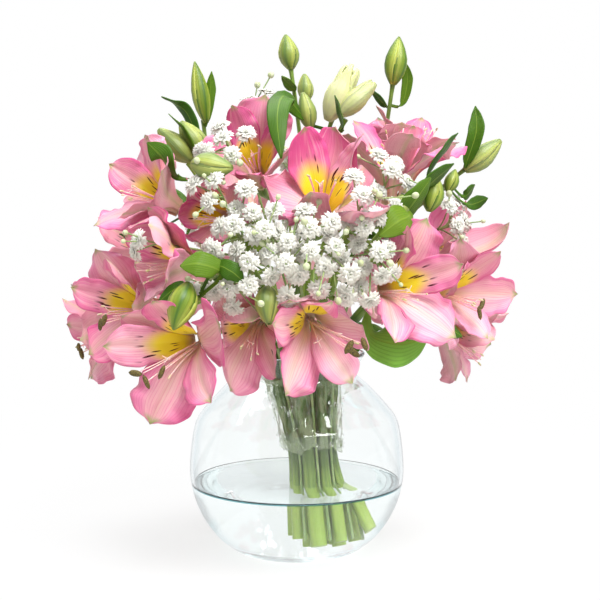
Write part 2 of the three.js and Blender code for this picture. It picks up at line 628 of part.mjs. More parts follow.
// one stem, one branch to each sprig, and along the branch one stalk to each floret
const SPRAY_PARTS = SPRAYS.map(([name, azimuth, radius, hub, sprigs], s) => {
  const main = through([
    inBundle(SPRAY_FOOT + 2 * draw(s, 21), azimuth, radius), inBundle(30, azimuth, radius),
    inBundle(WAIST, azimuth, radius), inBundle(90, azimuth, radius),
    inBundle(112, azimuth, radius), vec(hub),
  ]);
  const bars = [{
    curve: main, sides: 4,
    rings: [0, 0.2, 0.34, 0.48, 0.63, 0.8, 1].map((t) => [t, SPRAY_R]),
  }];
  const head = (full, size) => [
    [1 - 6.2 / full, STALK_R], [1 - 3.2 / full, FLORET_R * size], [1, 0]];
  const tipOf = (from, at) => at.clone().addScaledVector(at.clone().sub(from).normalize(), 3.2);
  sprigs.forEach((sprig, i) => {
    const own = FLORETS.filter((f) => f.s === s && f.i === i);
    const from = vec(hub).addScaledVector(main.getTangent(1), -0.5);
    // the branch runs on as the stalk of its first floret
    const first = own[0].at;
    const way = first.clone().sub(from).normalize();
    const branch = bent(from, way, first.clone().addScaledVector(own[0].out, 3.2), own[0].out, 0.3);
    const long = branch.getLength();
    const bar = {
      curve: branch, sides: 4, spin: own[0].spin,
      rings: [[0, 0.75], [0.45, 0.7], ...head(long, own[0].size)] };
    bars.push(bar);
    own.slice(1).forEach((f) => {
      const root = onBar(bar, 1 - Math.min(0.8, (13 + 2.4 * f.k) / long));
      const end = tipOf(root, f.at);
      bars.push({
        curve: new THREE.LineCurve3(root, end), sides: 4, spin: f.spin,
        rings: [[0, 0], ...head(root.distanceTo(end), f.size)] });
    });
  });
  return { name, bars };
});
const spraySolids = (s, grow = 0) =>
  s.bars.map((t) => swept(t.curve, t.rings.map(([u, r]) => [u, r + grow]), t.sides, t.spin));

// ---------------------------------------------------------------- vase, water, film
const vaseSpline = through([V(BASE_R + 4, 0.8, 0), ...VASE_OUT.map((p) => V(p[0], p[1], 0))]);
function vaseInner(offset) {
  // the outer profile moved inwards by the wall, above the floor
  const points = [];
  const n = VASE_OUT.length;
  for (let i = 0; i <= n; i++) {
    const p = vaseSpline.getPoint(i / n), t = vaseSpline.getTangent(i / n);
    const q = new THREE.Vector2(p.x - t.y * offset, p.y + t.x * offset);
    if (q.y > FLOOR + 2.5 && i !== 3) points.push(q);
  }
  return points;
}
function vaseSolid() {
  const inner = vaseInner(WALL);
  const profile = [
    new THREE.Vector2(0, 0), new THREE.Vector2(BASE_R, 0),
    ...VASE_OUT.map((p) => new THREE.Vector2(p[0], p[1])),
    new THREE.Vector2(VASE_OUT.at(-1)[0] - WALL, VASE_OUT.at(-1)[1]),
    ...inner.reverse().slice(1),
    new THREE.Vector2(33, FLOOR),
    new THREE.Vector2(0, FLOOR),
  ];
  return solid(new THREE.LatheGeometry(profile, VASE_SIDES).rotateX(Math.PI / 2));
}
function waterSolid() {
  const wall = vaseInner(WALL + GAP).filter((p) => p.y < WATER_TOP - 2);
  const above = vaseInner(WALL + GAP).find((p) => p.y >= WATER_TOP - 2);
  const last = wall.at(-1);
  const k = (WATER_TOP - last.y) / (above.y - last.y);
  const profile = [
    new THREE.Vector2(0, FLOOR + GAP), new THREE.Vector2(32.4, FLOOR + GAP), ...wall,
    new THREE.Vector2(last.x + k * (above.x - last.x), WATER_TOP), new THREE.Vector2(0, WATER_TOP),
  ];
  return solid(new THREE.LatheGeometry(profile, VASE_SIDES).rotateX(Math.PI / 2));
}
function filmSolid() {
  const sides = 22, rows = 5;
  const position = [], index = [];
  for (let side = 0; side < 2; side++)
    for (let i = 0; i < rows; i++)
      for (let j = 0; j < sides; j++) {
        const z = lerp(FILM[0], FILM[1], i / (rows - 1));
        const az = (j / sides) * 2 * Math.PI;
        const edge = (i === 0 ? 2.2 : i === rows - 1 ? 2.5 : 0) * (draw(j, 31 + i) - 0.5);
        const r = RING[1] * atHeight(BUNDLE, 2, z) + 4.4 + (side ? 0 : FILM_THICK) + 0.5 * draw(j, 35 + i);
        position.push(atHeight(BUNDLE, 1, z) + r * Math.sin(az), -r * Math.cos(az), z + edge);
      }
  const at = (side, i, j) => side * rows * sides + i * sides + (j % sides);
  const quad = (a, b, c, d) => index.push(a, b, c, a, c, d);
  for (let i = 0; i + 1 < rows; i++)
    for (let j = 0; j < sides; j++) {
      quad(at(0, i, j), at(0, i, j + 1), at(0, i + 1, j + 1), at(0, i + 1, j));
      quad(at(1, i, j + 1), at(1, i, j), at(1, i + 1, j), at(1, i + 1, j + 1));
    }
  for (let j = 0; j < sides; j++) {
    quad(at(0, 0, j + 1), at(0, 0, j), at(1, 0, j), at(1, 0, j + 1));
    quad(at(0, rows - 1, j), at(0, rows - 1, j + 1), at(1, rows - 1, j + 1), at(1, rows - 1, j));
  }
  const geometry = new THREE.BufferGeometry();
  geometry.setAttribute("position", new THREE.Float32BufferAttribute(position, 3));
  geometry.setIndex(index);
  return solid(geometry);
}

// ---------------------------------------------------------------- build and fit
const grownOf = (solids, owner) => solids.map((made) => ({ made, box: box(made), owner }));
const bouquet = new THREE.Group();
function geometryOf(body) {
  const mesh = body.getMesh();
  const geometry = new THREE.BufferGeometry();
  const position = new Float32Array(mesh.numVert * 3);
  for (let i = 0; i < mesh.numVert; i++)
    for (let k = 0; k < 3; k++) position[3 * i + k] = mesh.vertProperties[i * mesh.numProp + k];
  geometry.setAttribute("position", new THREE.BufferAttribute(position, 3));
  geometry.setIndex(new THREE.BufferAttribute(new Uint32Array(mesh.triVerts), 1));
  return geometry;
}
function add(name, made, colour, roughness, extra = {}) {
  // merging the points sets free the hollows that touch the skin, and they are filled
  const body = largest(solid(geometryOf(largest(made.simplify(0.01)))));
  const lost = made.volume() - body.volume();
  if (lost > 2) console.warn(`${name}: ${lost.toFixed(1)} mm3 cut away as scraps`);
  const geometry = geometryOf(body);
  geometry.computeVertexNormals();
  const piece = new THREE.Mesh(
    geometry, new THREE.MeshStandardMaterial({ color: colour, roughness, metalness: 0, ...extra }));
  piece.name = name;
  bouquet.add(piece);
  return body;
}

const GREEN = 0x6f9a45, PINK = 0xf0a3c0, WHITE = 0xf4f5ef;
const GLASS = 0xdfe9ea, WATER = 0xe4edf0, CLEAR = 0xd5dcd6;

const vase = vaseSolid();
const vaseGrown = grownOf([largest(joined([vase, waterSolid()]))], "vase");

// stems and pedicels first, each clear of those before it
const grownWood = [];
const woods = WOOD.map((w) => {
  const made = carved(joined(woodSolids(w)), grownWood);
  grownWood.push(...grownOf(woodSolids(w, GAP), w.name));
  return made;
});
// gypsophila clear of the stems and of each other
const grownSprays = [];
const sprays = SPRAY_PARTS.map((s) => {
  const made = carved(joined(spraySolids(s)), [...grownWood, ...grownSprays]);
  grownSprays.push(...grownOf(spraySolids(s, GAP), s.name));
  return made;
});
// leaves, each on its own stem, clear of all that is not their own
const grownLeaves = [];
const leaves = WOOD.map(() => []);
LEAVES.forEach((leaf) => {
  const wood = nearestWood(vec(leaf[2]));
  const w = WOOD[wood.s];
  const others = [
    ...vaseGrown,
    ...grownWood.filter((g) => g.owner !== w.name), ...grownSprays,
    ...grownLeaves.filter((g) => g.owner !== w.name)];
  leaves[wood.s].push(carved(leafSolid(leaf, wood.q), others));
  grownLeaves.push(...grownOf([leafSolid(leaf, wood.q, GAP)], w.name));
});
const grownAll = [...vaseGrown, ...grownWood, ...grownSprays, ...grownLeaves];

add("vase", vase, GLASS, 0.05, { transparent: true, opacity: 0.35 });
WOOD.forEach((w, s) => add(w.name, joined([woods[s], ...leaves[s]]), GREEN, 0.55));
SPRAY_PARTS.forEach((s, i) => add(s.name, sprays[i], WHITE, 0.8));
BLOOMS.forEach((row, b) =>
  add(`bloom_${String(b + 1).padStart(2, "0")}`, carved(bloomSolid(b), grownAll), PINK, 0.6));
const inVase = [...grownWood, ...grownSprays];
add("stem_film", carved(filmSolid(), inVase), CLEAR, 0.2, { transparent: true, opacity: 0.5 });
add("water", carved(waterSolid(), inVase), WATER, 0.05, { transparent: true, opacity: 0.4 });

export default bouquet;
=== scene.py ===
"""Bouquet of pink alstroemeria and white gypsophila in a round glass vase of water.

The flowers, leaves, sprays, glass, water and film are made again here as fine pieces that keep
the places and forms of the solids they stand for.  Lengths in the tables are millimetres.
"""

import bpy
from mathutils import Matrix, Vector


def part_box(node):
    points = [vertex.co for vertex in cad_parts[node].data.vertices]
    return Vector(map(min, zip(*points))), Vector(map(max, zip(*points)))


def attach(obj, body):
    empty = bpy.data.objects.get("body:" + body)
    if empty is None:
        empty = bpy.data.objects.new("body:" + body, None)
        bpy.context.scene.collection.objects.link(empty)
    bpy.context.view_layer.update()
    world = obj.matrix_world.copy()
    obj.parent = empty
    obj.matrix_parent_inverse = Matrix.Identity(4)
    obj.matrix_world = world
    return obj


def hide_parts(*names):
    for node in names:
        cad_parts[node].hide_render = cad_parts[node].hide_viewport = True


bl_info = {
    "name": "Alstroemeria Bouquet",
    "version": (1, 0, 0),
    "blender": (4, 5, 0),
    "location": "View3D > Sidebar > Bouquet",
    "description": "Flowers, leaves and gypsophila standing in a round glass vase of water",
    "category": "Add Mesh",
}

import math
from collections import namedtuple
from functools import partial

import bpy
import numpy as np
from mathutils import Vector

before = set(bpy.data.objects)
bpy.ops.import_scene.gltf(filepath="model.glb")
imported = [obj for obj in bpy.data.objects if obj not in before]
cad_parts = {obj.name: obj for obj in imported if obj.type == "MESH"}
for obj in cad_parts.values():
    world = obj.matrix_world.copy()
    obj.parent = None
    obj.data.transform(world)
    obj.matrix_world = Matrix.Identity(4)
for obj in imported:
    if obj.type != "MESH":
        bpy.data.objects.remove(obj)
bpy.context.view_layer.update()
MM = 0.001

# ---------------------------------------------------------------- places and sizes, millimetres
WATER_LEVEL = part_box("water")[1].z / MM
FLOOR = 5.0  # inner floor of the vase
BASE_R = 29.0
# outer profile of the vase, radius and height
VASE_OUT = [
    (37, 3), (44, 9), (51, 19), (55.8, 31), (57.5, 45), (54.8, 67),
    (48.8, 77), (39.2, 87.4), (32, 95), (36.4, 105),
]
RING = (4.2, 10.8)  # inner and outer ring of stems at the waist
WAIST = 55.0
FILM = (55.0, 94.0)  # lower and upper edge of the film
# centre and spread of the bundle of stems: z, x of the centre, spread
BUNDLE = np.array([
    (5, 13, 1.25), (30, 10, 1.06), (55, 8, 1.0), (90, 4, 1.5),
    (105, 3, 1.75), (130, 2, 2.4), (165, 2, 3.3),
])
# stems: ring, azimuth (0 = front, + = right), radius, umbel point, cut end height
STEMS = [
    (1, -12, 3.6, (-14, -37, 136), 13),
    (1, 33, 2.9, (18, -37, 138), 14.6),
    (1, 78, 2.9, (42, -14, 138), 18.5),
    (1, 123, 2.9, (36, 18, 156), 15),
    (1, 168, 2.9, (10, 36, 148), 14),
    (1, 213, 2.9, (-16, 32, 150), 13),
    (1, 258, 2.9, (-40, 10, 148), 17),
    (1, 303, 2.9, (-38, -26, 138), 16),
    (0, -12, 2.9, (0, -26, 163), 15),
    (0, 78, 2.9, (27, -10, 170), 13),
    (0, 168, 2.9, (6, 10, 182), 14),
    (0, 258, 2.9, (-42, -24, 186), 18),
]
LEANING = 3  # the stem whose cut end stands away from the others
# blooms: stem, throat x y z, yaw, pitch, roll, size, openness, deep, ripe anthers
# deep runs from 0, pale, to 1, deep pink
# yaw 0 faces the front, + turns right; pitch + looks up; roll turns the flower in its own plane
BLOOMS = [
    (1, -51, -86, 118, -26, -6, -45, 1.1, 1.08, 0.35, 3),
    (8, -80, -48, 133, -48, 5, -30, 1.0, 1.0, 0.45, 2),
    (7, -98, -12, 118, -78, -10, -30, 0.98, 0.9, 0.45, 2),
    (12, -68, -50, 188, -54, 26, -30, 0.95, 0.95, 0.45, 0),
    (8, -56, -74, 156, -60, 0, 0, 0.94, 0.88, 0.65, 0),
    (9, -37, -58, 178, -32, 8, -50, 0.88, 0.88, 0.8, 0),
    (11, -20, -48, 203, -8, 34, 10, 0.94, 0.8, 0.9, 0),
    (9, 12, -71, 185, 2, 36, 18, 1.2, 1.05, 1.0, 0),
    (10, 47, -45, 201, 10, 82, 0, 1.0, 0.95, 0.65, 0),
    (4, 60, -8, 209, 60, 74, 20, 0.95, 0.95, 0.6, 0),
    (10, 75, -26, 156, 80, 5, 10, 0.88, 0.85, 0.5, 0),
    (2, 45, -78, 144, 26, 8, 25, 1.02, 1.02, 0.35, 0),
    (3, 78, -40, 140, 42, 0, -20, 0.96, 0.95, 0.25, 2),
    (2, 8, -84, 127, 8, -10, -35, 1.04, 1.0, 0.15, 3),
    (1, -20, -74, 125, -8, -10, -40, 0.98, 0.95, 0.25, 0),
    (3, 82, -12, 118, 70, -25, -20, 0.95, 0.85, 0.15, 0),
    (4, 84, 30, 150, 108, 8, 0, 0.98, 1.0, 0.4, 3),
    (5, 54, 64, 140, 140, 5, 20, 1.0, 1.0, 0.5, 2),
    (5, 4, 80, 128, 178, -8, 0, 1.0, 1.0, 0.35, 3),
    (6, -52, 62, 140, 222, 5, -15, 0.98, 1.0, 0.45, 0),
    (7, -86, 26, 158, 255, 12, 10, 1.0, 1.0, 0.5, 3),
    (5, 26, 56, 188, 160, 35, 0, 0.98, 0.95, 0.6, 0),
    (6, -32, 52, 190, 212, 35, 15, 0.98, 0.95, 0.55, 2),
]
# green buds: stem, base x y z, tip x y z, width, gape of the tips
BUDS = [
    (7, -48, 0, 228, -54, 0, 260, 9, 0.0),
    (11, -3, 0, 256, -6, 0, 274, 10.5, 0.05),
    (11, 5, -10, 238, 4, -10, 252, 8, 0.1),
    (11, 7, -28, 222, 3, -30, 240, 9, 0.1),
    (11, 16, -12, 228, 29, -10, 256, 14, 0.55),
    (11, 22, -16, 230, 40, -13, 247, 11, 0.35),
    (12, -53, -26, 206, -70, -26, 222, 12, 0.1),
    (12, -47, -22, 209, -59, -24, 226, 12, 0.1),
    (12, -48, -80, 201, -29, -84, 199, 12, 0.1),
    (4, 51, 0, 248, 54, 0, 273, 11.5, 0.0),
    (4, 90, 4, 203, 109, 4, 219, 12, 0.12),
    (10, 63, -64, 180, 67, -60, 197, 10, 0.0),
    (10, 75, -40, 190, 79, -38, 201, 7, 0.0),
    (10, 46, -78, 175, 49, -78, 187, 9, 0.1),
    (1, -48, -97, 147, -54, -105, 127, 13, 0.0),
    (1, -13, -90, 145, -12, -98, 129, 12.5, 0.1),
]
# leaves: width, droop roll, then the points from the visible base to the tip
LEAVES = [
    (8, 30, (-51, -20, 217), (-57, -18, 232), (-69, -22, 239)),
    (8, -20, (-51, -30, 210), (-57, -31, 221), (-64, -34, 229)),
    (12, 10, (-57, -58, 196), (-63, -68, 205), (-70, -68, 212)),
    (6, 80, (-48, 0, 228), (-46, 0, 243), (-45, 0, 255)),
    (13, 0, (3, -31, 228), (-6, -48, 236), (-9, -66, 224), (-7, -74, 204)),
    (7, 40, (-1, -2, 245), (-8, -4, 252)),
    (8, 70, (22, -38, 220), (22, -37, 229), (19, -35, 238)),
    (6, 20, (48, 4, 237), (40, 6, 246)),
    (6, 80, (56, 6, 238), (59, 5, 250), (58, 3, 260)),
    (9, 70, (90, 0, 206), (95, -2, 223), (95, 2, 237)),
    (9, 40, (62, -64, 196), (70, -63, 208), (77, -60, 217)),
    (12, 40, (55, -70, 184), (63, -72, 193), (74, -68, 202)),
    (13, 20, (48, -78, 176), (55, -80, 185), (62, -78, 195)),
    (15, 0, (52, -82, 178), (46, -90, 175), (37, -92, 168)),
    (7, 0, (84, -32, 188), (90, -30, 194)),
    (7, 0, (85, -36, 184), (96, -34, 187)),
    (12, 10, (-33, -100, 151), (-42, -106, 156), (-51, -104, 155)),
    (9, 0, (-36, -100, 154), (-29, -105, 153), (-23, -104, 148)),
    (7, 0, (-50, -96, 146), (-55, -98, 144), (-62, -97, 138)),
    (23, 0, (34, -74, 123), (48, -78, 118), (62, -72, 121)),
    (12, 0, (69, -56, 142), (62, -60, 138), (54, -62, 140)),
    (13, 0, (66, -46, 128), (73, -52, 124), (81, -52, 119)),
    (7, 0, (-78, -48, 166), (-86, -53, 169)),
    (14, 0, (-12, -26, 112), (-20, -38, 122), (-24, -50, 118)),
    (13, 0, (22, -22, 108), (30, -34, 116), (40, -44, 118)),
    (14, 0, (26, 18, 112), (42, 34, 118), (52, 46, 112)),
    (14, 0, (-16, 24, 112), (-32, 40, 120), (-44, 50, 114)),
    (15, 0, (34, 62, 150), (44, 76, 164), (50, 88, 166)),
    (15, 0, (-18, 62, 160), (-26, 80, 166), (-30, 90, 158)),
    (14, 0, (-60, 34, 180), (-76, 42, 190), (-84, 46, 186)),
    (13, 0, (58, 26, 184), (74, 36, 194), (84, 42, 190)),
    (12, 10, (0, 44, 196), (4, 58, 212), (8, 66, 214)),
]
# gypsophila: letter, azimuth of its stem, radius of its slot, hub, sprigs (x y z, florets)
SPRAYS = [
    ("a", -34.5, 12.4, (-24, -60, 158), [
        (-40, -88, 189, 3), (-24, -94, 182, 3), (-31, -98, 170, 5), (-21, -101, 156, 5),
        (-26, -98, 145, 3), (-44, -92, 143, 2), (-73, -84, 166, 2)]),
    ("b", 10.5, 12.4, (0, -58, 156), [
        (-13, -101, 168, 4), (-3, -103, 160, 6), (15, -103, 161, 7), (9, -102, 169, 4)]),
    ("c", 55, 12.4, (30, -56, 160), [
        (33, -98, 156, 7), (27, -96, 146, 3), (35, -90, 187, 5), (31, -96, 172, 2),
        (44, -80, 201, 4)]),
    ("d", 0, 0, (-22, -8, 196), [(-38, -72, 214, 7), (-22, -22, 240, 2)]),
    ("e", 100, 12.4, (54, -4, 166), [(85, -40, 177, 6)]),
    ("f", 190.5, 12.4, (-4, 50, 164), [
        (-6, 84, 168, 4), (26, 82, 160, 2), (-60, 66, 172, 3), (-4, 44, 214, 2)]),
]
THROAT = 20.0  # from the flower's base to its throat
CORE_R, CORE_H = 3.4, 3.0  # the cup at the flower's base
SEAT = 0.35  # from the end of a pedicel to the flower's base
SPRAY_R, PEDICEL_R, STALK_R = 0.7, 1.35, 0.42
SPRAY_FOOT = 14.0  # cut ends of the gypsophila
DROOP = {1: (-5, 9), 14: (15, 5)}  # how far the ends of a flower's stamens lean: sideways and down
FLORET_REACH = 5.0  # room that a floret keeps round itself
HEART = np.array([2.0, 0.0, 150.0])  # middle of the bouquet, which the sprigs look away from
EYE = (1.7, -583.0, 169.0)  # where the camera stands
LOOK_DOWN = 3.46  # degrees

# kinds of tepal: length, half width, spread angle, tip recurve, cup, widest place, ruffle, fold
Kind = namedtuple("Kind", "long wide open curl cup peak ruffle fold")
OUTER = Kind(1.0, 15, 56, 20, -0.15, 0.68, 0.15, 0.05)
UPPER = Kind(0.98, 9, 38, 14, 0.14, 0.70, 0.12, 0.12)
LOWER = Kind(0.92, 9, 44, 26, 0.10, 0.70, 0.12, 0.10)
TURNS = (0, 42, 112, 180, 248, 318)  # the two upper inner tepals stand close together

ROUND = 6.28  # nearly a full turn, in radians
# how fine the meshes are: rows and columns of points, and points round a turned or swept body
TEPAL_GRID, BUD_GRID, FILM_GRID = (34, 15), (15, 11), (42, 150)
LEAF_ROWS, LEAF_COLUMNS = (7, 25), 11  # rows along a leaf's stalk and its blade
THREAD_ROWS = 12  # rows along a filament or a style
VASE_SIDES, STALK_SIDES, SPRAY_SIDES, THREAD_SIDES = 144, 14, 6, 6
FLARE_R = BASE_R + 2.2  # where the vase's foot turns up from the table
WET = -0.25  # the water wets the glass, with no air between them
DROPS = 190000.0  # drops on a square metre of wet film
DROP_R = 0.6  # radius of a drop before it is made larger or smaller
# whorls of a floret: petals, length, lean in degrees and width as shares of the floret's radius
WHORLS = [(9, 1.0, 84, 0.24), (9, 0.9, 62, 0.23), (7, 0.74, 42, 0.22), (5, 0.58, 18, 0.21)]
SPREAD, TURN = 6.4, 2.4  # how the florets of a sprig spread: step outwards and turn, in radians

SENSOR, LENS = 36.0, 65.4  # the camera's
# light is turned back many times inside glass and water before it comes out
BOUNCES = {"max_bounces": 32, "glossy_bounces": 24, "transmission_bounces": 32}
# studio lamps: name, place and side in metres, watts; and the point they look at
LAMPS = (("key", (0.5, -0.9, 1.38), 1.0, 41.0), ("top", (-0.35, 0.25, 1.4), 1.2, 14.0))
LAMPS_AIM = (0, 0, 0.14)


def tepal_kind(k):
    """Kind of a flower's tepal, counted round from the top: outer ones are even."""
    return LOWER if k == 3 else (UPPER if k % 2 else OUTER)


# ---------------------------------------------------------------- settings in the sidebar
def colour_setting(label, about, hex_colour):
    """A colour that the user may change."""
    return bpy.props.FloatVectorProperty(
        name=label, description=about, subtype="COLOR", size=3, min=0, max=1,
        default=linear(hex_colour)[:3])


def length_setting(label, about, millimetres):
    """A size that the user may change."""
    return bpy.props.FloatProperty(
        name=label, description=about, default=millimetres * MM, min=0.0, unit="LENGTH", precision=5)


def linear(hex_colour):
    """An sRGB hex colour as linear RGBA."""
    out = []
    for i in (1, 3, 5):
        c = int(hex_colour[i:i + 2], 16) / 255
        out.append(c / 12.92 if c <= 0.04045 else ((c + 0.055) / 1.055) ** 2.4)
    return (*out, 1.0)


class BouquetFlowerSettings(bpy.types.PropertyGroup):
    """Sizes and colours of the alstroemeria flowers."""

    tepal_long: length_setting("Tepal length", "From the flower's base to a tepal's tip", 48)
    tepal_thick: length_setting("Tepal thickness", "Thickness of a tepal in its middle", 0.4)
    edge: colour_setting("Edge pink", "Colour along a tepal's edges", "#d04a89")
    body: colour_setting("Body pink", "Colour of most of a tepal", "#ee9cbc")
    pale: colour_setting("Pale pink", "Colour beside the midrib", "#f0c8c4")
    cream: colour_setting("Cream", "Colour down in the throat", "#e4cba0")
    yellow: colour_setting("Yellow", "Blotch on the upper inner tepals", "#f6e31c")
    fleck: colour_setting("Fleck", "Dark dashes on the inner tepals", "#4a0d16")


class BouquetGreenSettings(bpy.types.PropertyGroup):
    """Sizes and colours of stems, leaves and buds."""

    leaf_thick: length_setting("Leaf thickness", "Thickness of a leaf", 0.45)
    leaf: colour_setting("Leaf", "Upper side of the leaves", "#4b7114")
    # dark green of the veins, and the painted shade of leaves drawn as unlit
    leaf_dark: colour_setting("Leaf shade", "Darker parts of the leaves", "#2f5409")
    stem: colour_setting("Stem", "Stems and pedicels", "#66852f")
    bud: colour_setting("Bud", "Skin of the closed buds", "#69821a")


class BouquetSpraySettings(bpy.types.PropertyGroup):
    """Sizes and colours of the gypsophila."""

    floret_r: length_setting("Floret radius", "Radius of one double floret", 5.3)
    white: colour_setting("White", "Petals of the florets", "#e3e3da")
    # greenish grey of the floret's heart: partly its own green, partly painted shade among the petal bases
    heart: colour_setting("Heart", "Greenish middle of a floret", "#a9b87a")


class BouquetVaseSettings(bpy.types.PropertyGroup):
    """Sizes of the vase, its water and the film."""

    wall: length_setting("Wall", "Thickness of the glass", 1.6)
    film_thick: length_setting("Film thickness", "Thickness of the clear film", 0.12)
    meniscus: length_setting("Meniscus", "Rise of the water at the glass", 1.05)


# ---------------------------------------------------------------- small maths
def smooth(low, high, t):
    """Rises smoothly from 0 at low to 1 at high, and falls where low is above high."""
    k = np.clip((t - low) / (high - low), 0.0, 1.0)
    return k * k * (3 - 2 * k)


def draw(i, salt):
    """A fixed draw between 0 and 1 for one thing and one purpose."""
    s = np.sin(i * 12.9898 + salt * 78.233) * 43758.5453
    return s - np.floor(s)


def unit(a):
    """A vector, or each of a row of vectors, at length 1."""
    return a / np.maximum(np.linalg.norm(a, axis=-1, keepdims=True), 1e-12)


def aimed(yaw, pitch):
    """Way that something faces, from its yaw and pitch in degrees."""
    y, p = math.radians(yaw), math.radians(pitch)
    return np.array([math.sin(y) * math.cos(p), -math.cos(y) * math.cos(p), math.sin(p)])


def heading(point, t, step=1e-3):
    """Way along a curve, read a small step to both sides."""
    return unit(point(np.minimum(t + step, 1)) - point(np.maximum(t - step, 0)))


def eased(row):
    """A row of numbers with each one drawn a little towards its neighbours."""
    return np.convolve(np.pad(row, 1, mode="edge"), [0.25, 0.5, 0.25], mode="valid")


class Line:
    """A curve given by a function of 0 to 1, read by its share of the length."""

    def __init__(self, point):
        self.point = point
        self.t = np.linspace(0, 1, 201)
        steps = np.linalg.norm(np.diff(point(self.t), axis=0), axis=1)
        self.run = np.concatenate([[0.0], np.cumsum(steps)])
        self.length = self.run[-1]

    def at(self, share):
        """Point at a share of the length."""
        return self.point(np.interp(np.asarray(share) * self.length, self.run, self.t))

    def way(self, share):
        """Way along the line at a share of the length."""
        return heading(self.point, np.interp(np.asarray(share) * self.length, self.run, self.t), 1e-4)


def spline(points):
    """Function of 0 to 1 that runs smoothly through the points."""
    p = np.array(points, float)
    n = len(p) - 1
    p = np.vstack([2 * p[:1] - p[1:2], p, 2 * p[-1:] - p[-2:-1]])

    def point(t):
        s = np.clip(np.asarray(t, float), 0, 1) * n
        i = np.minimum(s.astype(int), n - 1)
        w = (s - i)[..., None]
        a, b, c, d = p[i], p[i + 1], p[i + 2], p[i + 3]
        m, k = (c - a) / 2, (d - b) / 2
        return (2 * b - 2 * c + m + k) * w**3 + (3 * c - 3 * b - 2 * m - k) * w**2 + m * w + b

    return point


def through(points):
    """Line that runs smoothly through the points."""
    return Line(spline(points))


def bent(p0, d0, p1, d1, bend):
    """Curve that leaves p0 along d0 and arrives at p1 along d1."""
    k = np.linalg.norm(p1 - p0) * bend
    q0, q1 = p0 + d0 * k, p1 - d1 * k

    def point(t):
        w = np.asarray(t, float)[..., None]
        return (1 - w)**3 * p0 + 3 * (1 - w)**2 * w * q0 + 3 * (1 - w) * w**2 * q1 + w**3 * p1

    return Line(point)


def bundle_at(column, z):
    """Value of a column of the bundle's table at height z, eased between its rows."""
    n = len(BUNDLE) - 1
    z = np.asarray(z, float)
    i = np.clip(np.searchsorted(BUNDLE[:, 0], z, side="left") - 1, 0, n - 1)
    k = np.clip((z - BUNDLE[i, 0]) / (BUNDLE[i + 1, 0] - BUNDLE[i, 0]), 0, 1)
    return spline(BUNDLE[:, column:column + 1])((i + k) / n)[..., 0]


def in_bundle(z, azimuth, radius):
    """Point of the bundle of stems at height z."""
    k = radius * bundle_at(2, z)
    a = math.radians(azimuth)
    return np.array([bundle_at(1, z) + k * math.sin(a), -k * math.cos(a), z])


# ---------------------------------------------------------------- meshes
def link_object(name, data):
    """A new object in the scene, at the origin."""
    made = bpy.data.objects.new(name, data)
    bpy.context.scene.collection.objects.link(made)
    return made


class Piece:
    """Points, faces, map coordinates, tone and material numbers of one piece, in millimetres."""

    def __init__(self):
        self.points, self.faces, self.maps, self.tones, self.slots = [], [], [], [], []
        self.count = 0

    def add(self, points, faces, maps=None, tone=(0.5, 0.5, 0.5), slot=0):
        """Adds points and faces, which may have different numbers of corners."""
        n = len(points)
        self.points.append(points)
        self.faces.extend([[int(c) + self.count for c in face] for face in faces])
        self.maps.append(np.zeros((n, 2)) if maps is None else maps)
        self.tones.append(np.broadcast_to(np.asarray(tone, float), (n, 3)))
        self.slots.extend([slot] * len(faces))
        self.count += n

    def build(self, name, materials):
        """Makes the piece's object, with its place in its mesh."""
        mesh = bpy.data.meshes.new(name)
        mesh.from_pydata((np.vstack(self.points) * MM).tolist(), [], self.faces)
        for material in materials:
            mesh.materials.append(material)
        mesh.polygons.foreach_set("material_index", self.slots)
        mesh.polygons.foreach_set("use_smooth", [True] * len(self.faces))
        corners = np.empty(len(mesh.loops), np.int32)
        mesh.loops.foreach_get("vertex_index", corners)
        layer = mesh.uv_layers.new(name="UVMap")
        layer.data.foreach_set("uv", np.vstack(self.maps)[corners].astype(np.float32).ravel())
        tone = mesh.attributes.new("tone", "FLOAT_VECTOR", "POINT")
        tone.data.foreach_set("vector", np.vstack(self.tones).astype(np.float32).ravel())
        mesh.validate()
        return link_object(name, mesh)


def grid_faces(rows, columns, closed=False):
    """Quads of a grid of points, row by row; closed joins the last column to the first."""
    i = np.arange(rows - 1)[:, None]
    j = np.arange(columns if closed else columns - 1)[None, :]
    a = i * columns + j
    b = i * columns + (j + 1) % columns
    return np.stack([a, b, b + columns, a + columns], -1).reshape(-1, 4)


def upright(grid):
    """Way that stands upright on a grid of points, at each point."""
    return unit(np.cross(np.gradient(grid, axis=0), np.gradient(grid, axis=1)))


def both_sides(grid, face):
    """Points of a blade: the grid moved by face, then the grid moved the other way."""
    return np.concatenate([(grid + face).reshape(-1, 3), (grid - face).reshape(-1, 3)])


def sheet_solid(piece, grid, thick, maps, **extra):
    """A closed thin blade on a grid of points."""
    rows, columns = grid.shape[:2]
    face = upright(grid) * (np.asarray(thick) / 2)
    n = rows * columns
    first = grid_faces(rows, columns)[:, ::-1]
    second = grid_faces(rows, columns) + n
    ids = np.arange(n).reshape(rows, columns)
    rim = np.concatenate([ids[0, :-1], ids[:-1, -1], ids[-1, :0:-1], ids[:0:-1, 0]])
    nxt = np.roll(rim, -1)
    edge = np.stack([rim, nxt, nxt + n, rim + n], -1)
    uv = maps.reshape(-1, 2)
    faces = np.concatenate([first, second, edge])
    piece.add(both_sides(grid, face), faces, np.concatenate([uv, uv]), **extra)


def hull(piece, points, sides, **extra):
    """Walls between rings of points, closed by a fan at each end; the last two points are the ends."""
    tip = len(points) - 2
    last = tip - sides
    j = np.arange(sides)
    k = (j + 1) % sides
    foot = np.stack([k, j, np.full(sides, tip)], -1)
    head = np.stack([j + last, k + last, np.full(sides, tip + 1)], -1)
    walls = grid_faces(tip // sides, sides, closed=True)
    piece.add(points, walls.tolist() + foot.tolist() + head.tolist(), **extra)


